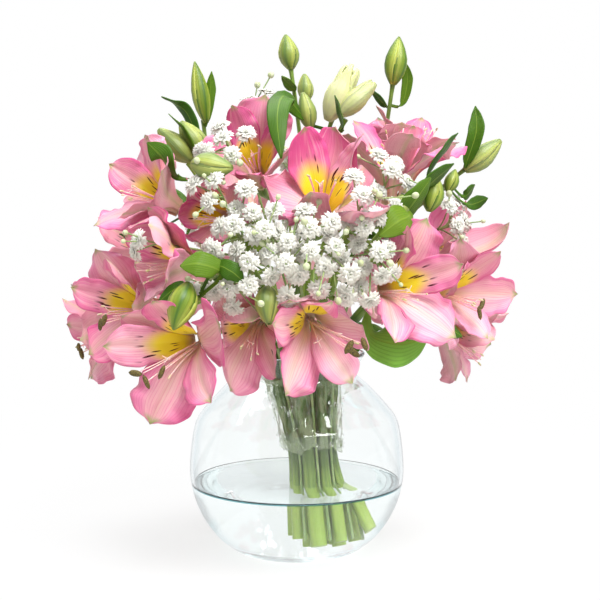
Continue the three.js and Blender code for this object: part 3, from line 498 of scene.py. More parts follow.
def rod(piece, centres, radii, sides, squash=1.0, **extra):
    """A closed round rod along a row of points, narrowed to its given radii."""
    centres, radii = np.asarray(centres, float), np.asarray(radii, float)
    ways = unit(np.gradient(centres, axis=0))
    across = np.array([0, 1.0, 0]) if abs(ways[0, 2]) > 0.9 else np.array([0, 0, 1.0])
    turn = np.linspace(0, 2 * np.pi, sides, endpoint=False)
    rings = []
    for centre, way, radius in zip(centres, ways, radii):
        across = unit(across - way * across.dot(way))
        other = np.cross(way, across)
        rings.append(centre + radius * (
            np.cos(turn)[:, None] * across + squash * np.sin(turn)[:, None] * other))
    n = len(centres)
    uv = np.stack([np.tile(np.arange(sides) / sides, n), np.repeat(np.linspace(0, 1, n), sides)], -1)
    uv = np.vstack([uv, [[0.5, 0.0], [0.5, 1.0]]])
    hull(piece, np.vstack(rings + [centres[:1], centres[-1:]]), sides, maps=uv, **extra)


def lathe(piece, profile, sides, **extra):
    """A closed turned body.  The profile runs outwards and up from the axis and ends on the axis."""
    profile = np.asarray(profile, float)
    turn = np.linspace(0, 2 * np.pi, sides, endpoint=False)
    ring = np.stack([np.cos(turn), np.sin(turn)], -1)
    rings = [np.concatenate([r * ring, np.full((sides, 1), z)], -1) for r, z in profile[1:-1]]
    ends = np.array([[0, 0, profile[0, 1]], [0, 0, profile[-1, 1]]])
    hull(piece, np.vstack([*rings, ends]), sides, **extra)


def dress(made, slot, *nodes):
    """The piece rides on the one body and stands for its solids, which it hides."""
    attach(made, "root")
    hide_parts(*nodes)


# ---------------------------------------------------------------- materials
# the nodes used most, by a short word: kind, settings, the inputs that take the values, the result
WIRING = {
    "MAP": ("ShaderNodeUVMap", {"uv_map": "UVMap"}, (), 0),
    "TONE": ("ShaderNodeAttribute", {"attribute_name": "tone"}, (), "Vector"),
    "GRAIN": ("ShaderNodeAttribute", {"attribute_name": "grain"}, (), "Vector"),
    "PLACE": ("ShaderNodeTexCoord", {}, (), "Object"),
    "FACING": ("ShaderNodeTexCoord", {}, (), "Normal"),
    "SLANT": ("ShaderNodeLayerWeight", {}, ("Blend",), "Facing"),
    "PARTS": ("ShaderNodeSeparateXYZ", {}, (0,), slice(None)),
    "JOIN": ("ShaderNodeCombineXYZ", {}, (0, 1, 2), 0),
    "LENGTH": ("ShaderNodeVectorMath", {"operation": "LENGTH"}, (0,), "Value"),
    "STRETCH": ("ShaderNodeMapping", {}, ("Vector", "Scale"), 0),
    "NOISE": ("ShaderNodeTexNoise", {}, ("Vector", "Scale", "Detail"), 0),
    "CELLS": ("ShaderNodeTexVoronoi", {}, ("Vector", "Scale", "Randomness"), slice(None)),
    "RED": ("ShaderNodeSeparateColor", {}, (0,), 0),
    "RAMP": ("ShaderNodeMapRange", {"interpolation_type": "SMOOTHSTEP"}, (0, 1, 2, 3, 4), 0),
    "MIX": ("ShaderNodeMix", {"data_type": "RGBA"}, (0, 6, 7), 2),
    "BLEND": ("ShaderNodeMix", {"data_type": "FLOAT"}, (0, 2, 3), 0),
    "BUMP": ("ShaderNodeBump", {}, ("Strength", "Distance", "Height"), 0),
}


def feed(tree, socket, value):
    """Links a socket to the one that feeds it, or sets it to a value."""
    if isinstance(value, bpy.types.NodeSocket):
        tree.links.new(value, socket)
    else:
        socket.default_value = value


def add_node(tree, kind, inputs=None, **settings):
    """Adds a node; an input is a value or the socket that feeds it."""
    made = tree.nodes.new(kind)
    for name, value in settings.items():
        setattr(made, name, value)
    for key, value in (inputs or {}).items():
        feed(tree, made.inputs[key], value)
    return made


def wired(tree, word, *values):
    """Adds a node of the table, or a Math node for an operation, and gives what comes out of it.

    RAMP takes a value from low..high smoothly to 0..1, or to the two numbers after them, and holds
    it at the ends.
    """
    kind, settings, keys, result = WIRING.get(word, ("ShaderNodeMath", {"operation": word}, (0, 1), 0))
    return add_node(tree, kind, dict(zip(keys, values)), **settings).outputs[result]


def new_material(name):
    """An empty material, and the function that adds wired nodes to its tree."""
    made = bpy.data.materials.new(name)
    made.use_nodes = True
    return made, partial(wired, made.node_tree)


def rgba(colour):
    """Linear RGBA of an sRGB hex colour or of a colour setting; a socket stays as it is."""
    if isinstance(colour, bpy.types.NodeSocket):
        return colour
    return linear(colour) if isinstance(colour, str) else (*colour, 1.0)


def coated(node, ground, *coats):
    """A colour with others laid over it in turn, each given by its share and its colour."""
    for share, coat in coats:
        ground = node("MIX", share, rgba(ground), rgba(coat))
    return ground


def from_middle(node, x):
    """0 along the middle of a blade and 1 at both its sides."""
    return node("MULTIPLY", node("ABSOLUTE", node("SUBTRACT", x, 0.5)), 2.0)


def scaled(node, *pairs):
    """A place whose parts are values, each taken so many times."""
    return node("JOIN", *(node("MULTIPLY", value, times) for value, times in pairs))


def set_shader(made, values):
    """Sets or feeds the inputs of a material's shader and gives the material back."""
    tree = made.node_tree
    for name, value in values.items():
        feed(tree, tree.nodes["Principled BSDF"].inputs[name], value)
    return made


def finished(made, node, colour, relief, soft, values):
    """Ends a material with its colour, its relief and its shader's values.

    relief is a strength, a depth in metres and a height.  soft is the share of light that spreads in
    the tissue, how far each colour spreads, and the scale of that in metres.
    """
    ends = {"Base Color": rgba(colour), "Normal": node("BUMP", *relief)}
    ends.update(zip(("Subsurface Weight", "Subsurface Radius", "Subsurface Scale"), soft))
    return set_shader(made, {**ends, **values})


def dashes(node, x, u, t, seed, bare):
    """Dark dashes about 4 mm long and under 1 mm wide, a few to each stripe of a tepal's middle.

    bare is the share of the cells that hold no dash.
    """
    far, tint, *_ = node("CELLS", scaled(node, (x, 12.0), (u, 4.6), (seed, 37.0)), 1.0, 0.8)
    kept = node("GREATER_THAN", node("RED", tint), bare)
    zone = node("MULTIPLY", node("RAMP", u, 0.28, 0.36), node("RAMP", u, 0.76, 0.64))
    zone = node("MULTIPLY", zone, node("RAMP", t, 0.86, 0.74))
    return node("MULTIPLY", zone, node("MULTIPLY", node("RAMP", far, 0.36, 0.27), kept))


def tepal_skin(name, flowers, blotch, bare, deep_share):
    """Living petal: thin, soft and a little see-through, with veins from claw to tip.

    It gives the eye a velvety sheen, a deeper edge and a paler middle with a greenish rib.
    """
    made, node = new_material(name)
    x, u, _ = node("PARTS", node("MAP"))
    deep, seed, back = node("PARTS", node("TONE"))
    cloud = node("NOISE", node("PLACE"), 90.0, 2.0)
    t = from_middle(node, x)
    edge_place = node("ADD", t, node("MULTIPLY", node("SUBTRACT", cloud, 0.5), 0.5))
    streak = node("NOISE", scaled(node, (x, 13.0), (u, 1.7), (seed, 53.0)), 1.0, 3.0)
    # fine lines that keep their share of the width, one about every millimetre
    waver = node("ADD", node("MULTIPLY", x, 120.0), node("MULTIPLY", streak, 9.0))
    veins = node("RAMP", node("SINE", waver), 0.35, 1.0)
    coats = [
        (node("RAMP", edge_place, 0.05, 0.75), flowers.body),
        (node("RAMP", edge_place, 0.55, 1.1, 0.0, 0.75), flowers.edge),
        # deeper flowers are deep all over, pale ones only at the edge
        (node("MULTIPLY", node("RAMP", u, 0.1, 0.9, 0.0, deep_share), deep), flowers.edge),
        # long streaks where the pigment has run towards the tip
        (node("RAMP", streak, 0.5, 0.75, 0.0, 0.4), flowers.edge),
        (node("RAMP", streak, 0.5, 0.25, 0.0, 0.45), flowers.pale),
        # no two tepals are quite alike
        (node("RAMP", seed, 0.4, 1.0, 0.0, 0.32), "#f8dde2"),
        # cream throat, the tepal's own colour; then painted shade, a warm brown darkening down towards the
        # claw, where little light gets in
        (node("RAMP", node("ADD", u, node("MULTIPLY", t, 0.25)), 0.55, 0.12), flowers.cream),
        (node("RAMP", u, 0.45, 0.08, 0.0, 0.4), "#c98d6c"),
        (node("MULTIPLY", veins, node("RAMP", u, 0.05, 0.4, 0.0, 0.3)), flowers.edge),
    ]
    if blotch:
        bowed = node("ADD", u, node("MULTIPLY", node("POWER", t, 2.0), 0.16))
        wide = node("MULTIPLY", node("RAMP", bowed, 0.72, 0.5), node("RAMP", u, 0.1, 0.26, 0.0, 0.95))
        coats.append((wide, flowers.yellow))
    else:
        rib = node("MULTIPLY", node("RAMP", t, 0.16, 0.03), node("RAMP", u, 0.15, 0.6, 0.0, 0.16))
        coats.append((rib, "#c9b98a"))
    if bare < 1:
        coats.append((dashes(node, x, u, t, seed, bare), flowers.fleck))
    # a green point at the tip, and a paler outside with a green rib
    point = node("MULTIPLY", node("RAMP", u, 0.93, 0.995, 0.0, 0.85), node("RAMP", t, 0.75, 0.2))
    inside = coated(node, flowers.pale, *coats, (point, "#86a052"))
    rib = node("RAMP", t, 0.25, 0.02, 0.0, 0.3)
    outside = coated(node, inside, (0.35, flowers.pale), (rib, "#a9b469"))
    relief = node("ADD", node("MULTIPLY", veins, 0.6), cloud)
    return finished(
        made, node, coated(node, inside, (back, outside)), (0.5, 0.0003, relief),
        (0.12, (1.0, 0.5, 0.45), 0.0006),
        {"Roughness": 0.5, "Specular IOR Level": 0.2, "Sheen Weight": 0.12, "Sheen Roughness": 0.4})


def leaf_skin(name, greens):
    """Living leaf: waxy and smooth, with parallel veins, lighter along the rib; painted light makes the
    leaves drawn as lit lighter and those drawn as unlit darker.
    """
    made, node = new_material(name)
    x, u, _ = node("PARTS", node("MAP"))
    lit = node("PARTS", node("TONE"))[0]
    cloud = node("NOISE", node("PLACE"), 70.0, 3.0)
    # painted light and shade: the leaf's tone says how lit it is drawn; with a random cloud it picks between
    # the dark ground and the leaf green
    share = node("ADD", node("MULTIPLY", cloud, 0.6), node("MULTIPLY", lit, 0.6))
    bright = node("ADD", lit, 0.15)
    veins = node("RAMP", node("SINE", node("MULTIPLY", x, 75.0)), 0.2, 1.0)
    colour = coated(
        node, greens.leaf_dark,
        (node("RAMP", share, 0.25, 0.95), greens.leaf),
        # painted light: lighter and yellower greens on the leaves drawn as most lit
        (node("RAMP", bright, 0.7, 1.2, 0.0, 0.65), "#738d26"),
        (node("RAMP", bright, 1.2, 1.5), "#7fb548"),
        (node("RAMP", from_middle(node, x), 0.09, 0.02, 0.0, 0.4), "#8fa640"),
        (node("MULTIPLY", veins, 0.18), greens.leaf_dark),
        (node("RAMP", u, 0.12, 0.0, 0.0, 0.6), greens.stem))
    return finished(
        made, node, colour, (0.4, 0.0003, veins), (0.12, (0.5, 1.0, 0.2), 0.0015),
        {"Roughness": 0.42, "Specular IOR Level": 0.2})


def stem_skin(name, greens):
    """Herbaceous stem: smooth and juicy, with long pale streaks and a few darker spots."""
    made, node = new_material(name)
    streak = node("NOISE", node("STRETCH", node("GRAIN"), (2.6, 2.6, 22.0)), 1.0, 3.0)
    place = node("PLACE")
    cloud = node("NOISE", place, 45.0, 2.0)
    high = node("PARTS", place)[2]
    # painted shade on the crowded stems, from the water up to just above the film
    painted_bundle_shade = node("MULTIPLY", node("RAMP", high, 0.034, 0.062), node("RAMP", high, 0.115, 0.1, 0.0, 0.8))
    colour = coated(
        node, greens.stem,
        (node("RAMP", streak, 0.35, 0.68), "#93ab4e"),
        (node("RAMP", cloud, 0.4, 0.75), "#324d14"),
        # painted shade: a dull dark green on the stems from the water up to just above the film, where they
        # crowd together; lighter and yellower where they stand in water
        (painted_bundle_shade, "#37511a"),
        (node("RAMP", high, 0.036, 0.028, 0.0, 0.55), "#bbd45a"))
    return finished(
        made, node, colour, (0.3, 0.0004, streak), (0.15, (0.6, 1.0, 0.3), 0.003), {"Roughness": 0.42})


def bud_skin(name, greens):
    """Skin of a closed bud: yellow-green, with a dark green rib down each tepal."""
    made, node = new_material(name)
    x, u, _ = node("PARTS", node("MAP"))
    pale = node("PARTS", node("TONE"))[0]
    t = from_middle(node, x)
    veins = node("RAMP", node("SINE", node("MULTIPLY", x, 44.0)), 0.3, 1.0)
    colour = coated(
        node, greens.bud,
        (node("RAMP", t, 0.2, 0.9), "#a9b54c"),
        (node("RAMP", t, 0.2, 0.03), "#3f6412"),
        (node("MULTIPLY", veins, 0.35), "#5d7d20"),
        (node("RAMP", u, 0.86, 1.0, 0.0, 0.7), "#55701a"),
        (node("MULTIPLY", pale, 0.75), "#e8e8b4"))
    return finished(
        made, node, colour, (0.3, 0.0003, veins), (0.2, (0.7, 1.0, 0.3), 0.002), {"Roughness": 0.42})


def plain_skin(name, first, second, roughness, grain_mm=0.6, soft=0.1):
    """Fine-grained living tissue of two close colours, for filaments, anthers, cups and thin stalks."""
    made, node = new_material(name)
    cloud = node("NOISE", node("PLACE"), 1 / (grain_mm * MM) / 2, 2.0)
    colour = coated(node, first, (node("RAMP", cloud, 0.3, 0.7), second))
    return finished(
        made, node, colour, (0.3, 0.0001, cloud), (soft, (1.0, 0.2, 0.1), 0.001),
        {"Roughness": roughness})


def floret_skin(name, sprays):
    """White petals, matt and lit through, greenish grey only deep in the heart: partly the floret's own
    green, partly painted shade among the crowded petal bases.
    """
    made, node = new_material(name)
    u = node("PARTS", node("TONE"))[0]
    cloud = node("NOISE", node("PLACE"), 400.0, 2.0)
    reach = node("ADD", u, node("MULTIPLY", node("SUBTRACT", cloud, 0.5), 0.3))
    colour = coated(node, sprays.heart, (node("RAMP", reach, 0.0, 0.55), sprays.white))
    return finished(
        made, node, colour, (0.2, 0.0001, cloud), (0.3, (1.0, 1.0, 0.9), 0.0015), {"Roughness": 0.6})


def clear_skin(name, middle, edge, ior, rim=None):
    """Clear glass or water: all light goes through, bent by its IOR, bluer and darker edge-on: partly the
    tint of its longer path, partly painted reflection of the duller room that the edges see.

    Above the height rim, in metres, its side is painted a dark teal, most of all at the front:
    painted shade for the dark line that the thin raised edge of a liquid shows.
    """
    made, node = new_material(name)
    place = node("PLACE")
    ripple = node("NOISE", place, 14.0, 1.0)
    # painted reflection, partly the glass's own tint: bluer and darker where the surface is seen edge-on
    coats = [(node("RAMP", node("SLANT", 0.5), 0.55, 1.0), edge)]
    if rim is not None:
        _, ahead, height = node("PARTS", place)
        upward = node("PARTS", node("FACING"))[2]
        # painted shade: the dark teal line of the raised edge, strongest at the front
        painted_rim_shade = node("MULTIPLY", node("RAMP", height, rim, rim + 0.0003), node("RAMP", upward, 0.9, 0.6))
        coats.append((node("MULTIPLY", painted_rim_shade, node("RAMP", ahead, 0.0, -0.03)), "#2f7f8a"))
    return finished(
        made, node, coated(node, middle, *coats), (0.12, 0.001, ripple), (),
        {"Transmission Weight": 1.0, "IOR": ior, "Roughness": 0.0})


def film_skin(name):
    """Thin clear polypropylene film: a grey-green veil with sharp glints along its creases."""
    made, node = new_material(name)
    place = node("PLACE")
    crease = node("NOISE", node("STRETCH", place, (260.0, 260.0, 60.0)), 1.0, 3.0)
    high = node("PARTS", place)[2]
    # the veil is thicker where the film is folded over at its upper and lower edge
    above = node("RAMP", high, (FILM[1] - 6.5) * MM, (FILM[1] - 3.5) * MM)
    below = node("RAMP", high, (FILM[0] + 5.5) * MM, (FILM[0] + 2.5) * MM)
    folded = node("MULTIPLY", node("MAXIMUM", above, below), 0.2)
    veil = node("ADD", node("RAMP", crease, 0.44, 0.68, 0.03, 0.5), folded)
    return finished(
        made, node, "#98a680", (0.9, 0.002, crease), (),
        {"Alpha": veil, "Roughness": 0.25, "Specular IOR Level": 0.4, "IOR": 1.49})


# ---------------------------------------------------------------- geometry nodes
def run_nodes(made, tree, values):
    """Runs a node tree on an object and keeps the result as its plain mesh, as a new object."""
    modifier = made.modifiers.new("nodes", "NODES")
    modifier.node_group = tree
    for item in tree.interface.items_tree:
        if item.name in values:
            modifier[item.identifier] = values[item.name]
    depsgraph = bpy.context.evaluated_depsgraph_get()
    mesh = bpy.data.meshes.new_from_object(made.evaluated_get(depsgraph))
    name = made.name
    made.modifiers.remove(modifier)
    bpy.data.objects.remove(made)
    mesh.name = name
    return link_object(name, mesh)


def new_tree(name, sockets):
    """A node tree with its named inputs, and the nodes at its two ends."""
    tree = bpy.data.node_groups.new(name, "GeometryNodeTree")
    tree.interface.new_socket("Geometry", in_out="INPUT", socket_type="NodeSocketGeometry")
    for label, kind in sockets:
        tree.interface.new_socket(label, in_out="INPUT", socket_type=kind)
    tree.interface.new_socket("Geometry", in_out="OUTPUT", socket_type="NodeSocketGeometry")
    return tree, tree.nodes.new("NodeGroupInput"), tree.nodes.new("NodeGroupOutput")


def end_tree(tree, given, out, shape):
    """Makes what a tree has set out real, and gives it the skin."""
    real = add_node(tree, "GeometryNodeRealizeInstances", {0: shape})
    skin = add_node(tree, "GeometryNodeSetMaterial", {0: real.outputs[0], "Material": given.outputs["Skin"]})
    tree.links.new(skin.outputs[0], out.inputs[0])
    return tree


def stalk_tree():
    """Round stalks along curves, as thick as each point's radius, with their grain stored."""
    tree, given, out = new_tree("stalks_along_curves", [
        ("Sides", "NodeSocketInt"), ("Skin", "NodeSocketMaterial")])
    circle = add_node(tree, "GeometryNodeCurvePrimitiveCircle", {
        "Resolution": given.outputs["Sides"], "Radius": 1.0})
    place = add_node(tree, "GeometryNodeInputPosition").outputs[0]
    run = add_node(tree, "GeometryNodeSplineParameter").outputs["Length"]
    hoop = add_node(tree, "GeometryNodeCaptureAttribute")
    hoop.capture_items.new("VECTOR", "around")
    tree.links.new(circle.outputs[0], hoop.inputs[0])
    tree.links.new(place, hoop.inputs[1])
    line = add_node(tree, "GeometryNodeCaptureAttribute")
    line.capture_items.new("FLOAT", "along")
    tree.links.new(given.outputs["Geometry"], line.inputs[0])
    tree.links.new(run, line.inputs[1])
    radius = add_node(tree, "GeometryNodeInputRadius").outputs[0]
    sweep = add_node(tree, "GeometryNodeCurveToMesh", {
        "Curve": line.outputs[0], "Profile Curve": hoop.outputs[0], "Scale": radius, "Fill Caps": True})
    around = add_node(tree, "ShaderNodeSeparateXYZ", {0: hoop.outputs[1]})
    grain = add_node(tree, "ShaderNodeCombineXYZ", {
        0: around.outputs[0], 1: around.outputs[1], 2: line.outputs[1]})
    kept = add_node(
        tree, "GeometryNodeStoreNamedAttribute",
        {"Geometry": sweep.outputs[0], "Name": "grain", "Value": grain.outputs[0]},
        data_type="FLOAT_VECTOR", domain="POINT")
    soft = add_node(tree, "GeometryNodeSetShadeSmooth", {0: kept.outputs[0]})
    return end_tree(tree, given, out, soft.outputs[0])


def floret_tree():
    """Florets, or small round buds, set on points that carry an aim, a size and a kind."""
    tree, given, out = new_tree("florets_on_points", [
        ("Floret", "NodeSocketObject"), ("Bud", "NodeSocketObject"), ("Skin", "NodeSocketMaterial")])
    aim, size, closed = (
        add_node(tree, "GeometryNodeInputNamedAttribute", {"Name": label}, data_type=kind).outputs[0]
        for label, kind in (("aim", "FLOAT_VECTOR"), ("size", "FLOAT"), ("closed", "BOOLEAN")))
    spin = add_node(tree, "FunctionNodeRandomValue", {"Min": 0.0, "Max": ROUND, "Seed": 7}, data_type="FLOAT")
    turn = add_node(tree, "FunctionNodeAlignRotationToVector", {"Vector": aim}, axis="Z")
    about = add_node(tree, "ShaderNodeCombineXYZ", {2: spin.outputs[1]})
    euler = add_node(tree, "FunctionNodeEulerToRotation", {0: about.outputs[0]})
    spun = add_node(
        tree, "FunctionNodeRotateRotation", {0: turn.outputs[0], 1: euler.outputs[0]}, rotation_space="LOCAL")
    both = add_node(tree, "GeometryNodeJoinGeometry")
    opened = add_node(tree, "FunctionNodeBooleanMath", {0: closed}, operation="NOT").outputs[0]
    for label, chosen in (("Floret", opened), ("Bud", closed)):
        shape = add_node(tree, "GeometryNodeObjectInfo", {"Object": given.outputs[label]})
        part = add_node(tree, "GeometryNodeInstanceOnPoints", {
            "Points": given.outputs["Geometry"], "Selection": chosen, "Instance": shape.outputs["Geometry"],
            "Rotation": spun.outputs[0], "Scale": size})
        tree.links.new(part.outputs[0], both.inputs[0])
    return end_tree(tree, given, out, both.outputs[0])


def drop_tree():
    """Small drops scattered on a surface where its 'wet' attribute is high."""
    tree, given, out = new_tree("drops_on_surface", [
        ("Drop", "NodeSocketObject"), ("Density", "NodeSocketFloat"), ("Skin", "NodeSocketMaterial")])
    wet = add_node(tree, "GeometryNodeInputNamedAttribute", {"Name": "wet"}, data_type="FLOAT").outputs[0]
    dense = wired(tree, "MULTIPLY", wet, given.outputs["Density"])
    spread = add_node(
        tree, "GeometryNodeDistributePointsOnFaces",
        {"Mesh": given.outputs["Geometry"], "Density": dense, "Seed": 11}, distribute_method="RANDOM")
    size = add_node(tree, "FunctionNodeRandomValue", {"Min": 0.4, "Max": 1.5, "Seed": 5}, data_type="FLOAT")
    shape = add_node(tree, "GeometryNodeObjectInfo", {"Object": given.outputs["Drop"]})
    drops = add_node(tree, "GeometryNodeInstanceOnPoints", {
        "Points": spread.outputs[0], "Instance": shape.outputs["Geometry"],
        "Rotation": spread.outputs["Rotation"], "Scale": size.outputs[1]})
    return end_tree(tree, given, out, drops.outputs[0])


def drop_shape():
    """A flattened drop, 1.2 mm across, sitting on the surface below it."""
    piece = Piece()
    t = np.linspace(0, math.pi, 6)
    lathe(piece, np.stack([DROP_R * np.sin(t), 0.35 - 0.4 * np.cos(t)], -1), 8)
    return piece


def stalk_piece(name, lines, sides, skin):
    """Stalks of one plant: each line is its points and its radii, in millimetres."""
    curve = bpy.data.curves.new(name, "CURVE")
    curve.dimensions = "3D"
    for points, radii in lines:
        stalk = curve.splines.new("POLY")
        stalk.points.add(len(points) - 1)
        four = np.concatenate([points * MM, np.ones((len(points), 1))], axis=1)
        stalk.points.foreach_set("co", four.ravel())
        stalk.points.foreach_set("radius", np.asarray(radii) * MM)
    tree = bpy.data.node_groups.get("stalks_along_curves") or stalk_tree()
    return run_nodes(link_object(name, curve), tree, {"Sides": sides, "Skin": skin})


# ---------------------------------------------------------------- flowers
Frame = namedtuple("Frame", "axis up right base centre")


def bloom_frame(row):
    """How a flower stands: its axis, its up and right, its base and the middle of its opening."""
    axis = aimed(row[4], row[5])
    up = unit(np.array([0, 0, 1.0]) - axis * axis[2])
    right = -np.cross(up, axis)
    throat = np.array(row[1:4], float)
    return Frame(axis, up, right, throat - axis * THROAT * row[7], throat + axis * 6 * row[7])


FRAMES = [bloom_frame(row) for row in BLOOMS]
# balls that hold the florets of each sprig: centre and radius
SPRIG_BALLS = [
    (np.array(g[:3], float), 4.2 * math.sqrt(g[3]) + 3.5) for spray in SPRAYS for g in spray[4]]
SOFT, SIDE_GAP = 7.0, 0.65  # how gently a flower's edge bends away, and half the gap it leaves
PUSH = 1.7  # how far out a ball of florets pushes tepals, in its radii


def crowded(points, own):
    """Moves a flower's points out of the sprigs' room and of the neighbours' halves of the gaps."""
    p = points.reshape(-1, 3).copy()
    centre = FRAMES[own].centre
    for _ in range(2):
        for at, r in SPRIG_BALLS:
            d = np.linalg.norm(p - at, axis=1)
            near = (d > 1e-3) & (d < PUSH * r)
            pushed = (r + d[near] * (PUSH - 1) / PUSH) / d[near]
            p[near] = (p[near] - at) * pushed[:, None] + at
        for j, other in enumerate(FRAMES):
            if j == own:
                continue
            away = other.centre - centre
            half = np.linalg.norm(away) / 2 - SIDE_GAP
            away = unit(away)
            s = (p - centre) @ away - half
            over = s > -SOFT
            p[over] += (-SOFT * np.exp(-(s[over] + SOFT) / SOFT) - s[over])[:, None] * away
    return p.reshape(points.shape)


def half_width(kind, u):
    """Half the width of a tepal along it: a narrow claw, the widest place and a round end."""
    claw = 0.18 + 0.82 * smooth(0.08, kind.peak, u)
    k = np.maximum(0, (u - kind.peak) / (1.0 - kind.peak))
    return kind.wide * claw * np.sqrt(np.maximum(0, 1 - k**2.4))


def midline(kind, opened, long, thick, u):
    """Middle line of a tepal in its own plane: out from the axis, along it, and its angle."""
    steps = 120
    t = (np.arange(steps) + 0.5) / steps
    a = np.radians(
        7 + (kind.open * opened - 7) * smooth(0.08, 0.6, t) + kind.curl * smooth(0.68, 1, t))
    ends = np.linspace(0, 1, steps + 1)
    r = np.concatenate([[0], np.cumsum(np.sin(a))]) * long / steps + CORE_R - thick / 2
    h = np.concatenate([[0], np.cumsum(np.cos(a))]) * long / steps + CORE_H
    return np.interp(u, ends, r), np.interp(u, ends, h), np.interp(u, t, a)


def tepal(piece, b, k, flowers):
    """One tepal: waved along its sides, folded at its rib and moved clear of its neighbours."""
    row, f, kind = BLOOMS[b], FRAMES[b], tepal_kind(k)
    at = b * 6 + k
    turn = math.radians(row[6] + TURNS[k] + 6 * (draw(at, 1) - 0.5))
    out = f.up * math.cos(turn) - f.right * math.sin(turn)
    side = np.cross(f.axis, out)
    size, opened = row[7], row[8] * (1 + 0.12 * (draw(at, 2) - 0.5))
    whole = flowers.tepal_long / MM
    long = (whole - CORE_H) * size * kind.long * (1 + 0.08 * (draw(at, 3) - 0.5))
    twist = 0.4 * (draw(at, 4) - 0.5)
    thick = flowers.tepal_thick / MM
    rows, columns = TEPAL_GRID
    u = 1 - (1 - np.linspace(0, 1, rows)) ** 1.5
    v = np.linspace(-1, 1, columns)
    r, h, a = midline(kind, opened, long, 0.7, u)
    w = np.maximum(half_width(kind, u) * size, 0.12)
    w *= 1 + 0.05 * np.sin(9 * u + ROUND * draw(at, 6))
    U, V = np.meshgrid(u, v, indexing="ij")
    W, A = w[:, None], a[:, None]
    inner = np.sin(A)[..., None] * f.axis - np.cos(A)[..., None] * out
    reach = np.cos(A)[..., None] * f.axis + np.sin(A)[..., None] * out
    edge = smooth(0.3, 1.0, np.abs(V))
    wave = np.sin(2 * np.pi * (2.1 + draw(at, 7)) * U + 3 * np.sign(V) + ROUND * draw(at, 8))
    fine = np.sin(2 * np.pi * 6.5 * U + 2 * np.sign(V) + ROUND * draw(at, 9))
    ragged = 1 + 0.05 * np.sin(8 * U + 2.4 * np.sign(V) + ROUND * draw(at, 16))
    nicks = np.sin(27 * U + 1.7 * np.sign(V) + ROUND * draw(at, 17))
    ragged = ragged + 0.022 * nicks * smooth(0.2, 0.5, U)
    lift = kind.cup * W * V**2 + twist * W * V * U
    lift = lift + kind.ruffle * W * edge * (wave + 0.45 * fine) * smooth(0.3, 0.85, U)
    lift = lift - kind.fold * W * np.exp(-(V / 0.2)**2) * smooth(0.1, 0.5, U)
    nib = (1.7 if kind is OUTER else 1.4) * np.exp(-((V * W) / 1.0)**2) * smooth(0.9, 1.0, U)
    bend = 1.6 * (draw(at, 10) - 0.5) * U**2 * size
    grid = (f.base + out * r[:, None, None] + f.axis * h[:, None, None]
            + side * (V * W * ragged + bend)[..., None] + inner * lift[..., None] + reach * nib[..., None])
    grid = crowded(grid, b)
    grid = grid + upright(grid) * (-0.22 if kind is OUTER else 0.3)
    body = thick * (1 - 0.5 * np.abs(V)[..., None]**3) * (1 - 0.4 * U[..., None])
    maps = np.stack([0.5 + 0.5 * V, U], -1)
    slot = {OUTER: 0, UPPER: 1, LOWER: 2}[kind]
    deep = min(1.0, max(0.0, row[9] + 0.3 * (draw(at, 14) - 0.5)))
    sheet_solid(piece, grid, body, maps, tone=(deep, draw(at, 15), 0.0), slot=slot)
    n = rows * columns
    tones = piece.tones[-1].copy()
    tones[n:, 2] = 1.0  # the second half of the points is the outside
    piece.tones[-1] = tones


def ovoid(piece, centre, way, long, radius, **extra):
    """A small closed spindle, such as an anther."""
    t = np.linspace(-1, 1, 7)
    radii = radius * np.sqrt(np.maximum(0.04, 1 - np.abs(t)**2.6))
    rod(piece, centre + t[:, None] * way * long / 2, radii, 8, **extra)


def arc(start, middle, tip, t):
    """Points of a curve that leaves start towards middle and comes from there to tip."""
    return (1 - t)**2 * start + 2 * t * (1 - t) * middle + t**2 * tip


def lean_of(b, k):
    """How far the tip of a stamen leans aside and down, and how far out it stands."""
    aside, below = DROOP.get(b + 1, (0, 7))
    if k < 3:
        seed = b * 3 + k
        sway = aside + 4 * (1 - k) + 3 * (draw(seed, 11) - 0.5)
        sink = below + (4.5 if k == 1 else 0) + 3 * (draw(seed, 12) - 0.5)
        return sway, sink, 36 + 6 * draw(seed, 13)
    at = b * 6 + k
    sway = aside + 3 * (4 - k) + 6 * (draw(at, 31) - 0.5)
    return sway, below + 9 * (draw(at, 32) - 0.6), 31 + 9 * draw(at, 33)


def stamens(piece, b):
    """Six curving filaments, the ripe ones with an olive anther."""
    row, f = BLOOMS[b], FRAMES[b]
    size, ripe = row[7], row[10]
    t = np.linspace(0, 1, THREAD_ROWS)[:, None]
    for k in range(6):
        at = b * 6 + k
        sway, sink, tip_at = lean_of(b, k)
        off = -f.right * sway - f.up * sink
        start = f.base + f.axis * 2.4 - f.up * 0.8 + f.right * 1.5 * ((k % 3) - 1)
        middle = f.base + (f.axis * 22 + off * 0.25) * size
        tip = f.base + (f.axis * tip_at + off) * size
        path = arc(start, middle, tip, t)
        curl = unit(tip - middle)
        path = path + (f.up * 1.8 + f.right * 1.2 * (draw(at, 34) - 0.5)) * size * t**4
        rod(piece, path, np.linspace(0.42, 0.26, len(t)), THREAD_SIDES, slot=3)
        if k < ripe:
            tilt = math.pi * draw(at, 35)
            level = f.right * math.cos(tilt) + f.up * math.sin(tilt)
            cross = unit(level + 0.6 * curl * (draw(at, 36) - 0.5))
            ovoid(piece, path[-1] + curl * 0.5, cross, 7.0, 1.5, squash=0.75, slot=4)
        elif draw(at, 37) > 0.35:
            cross = unit(curl + 1.5 * (draw(at, 38) - 0.5) * f.right)
            ovoid(piece, path[-1], cross, 2.6, 0.5, slot=5)


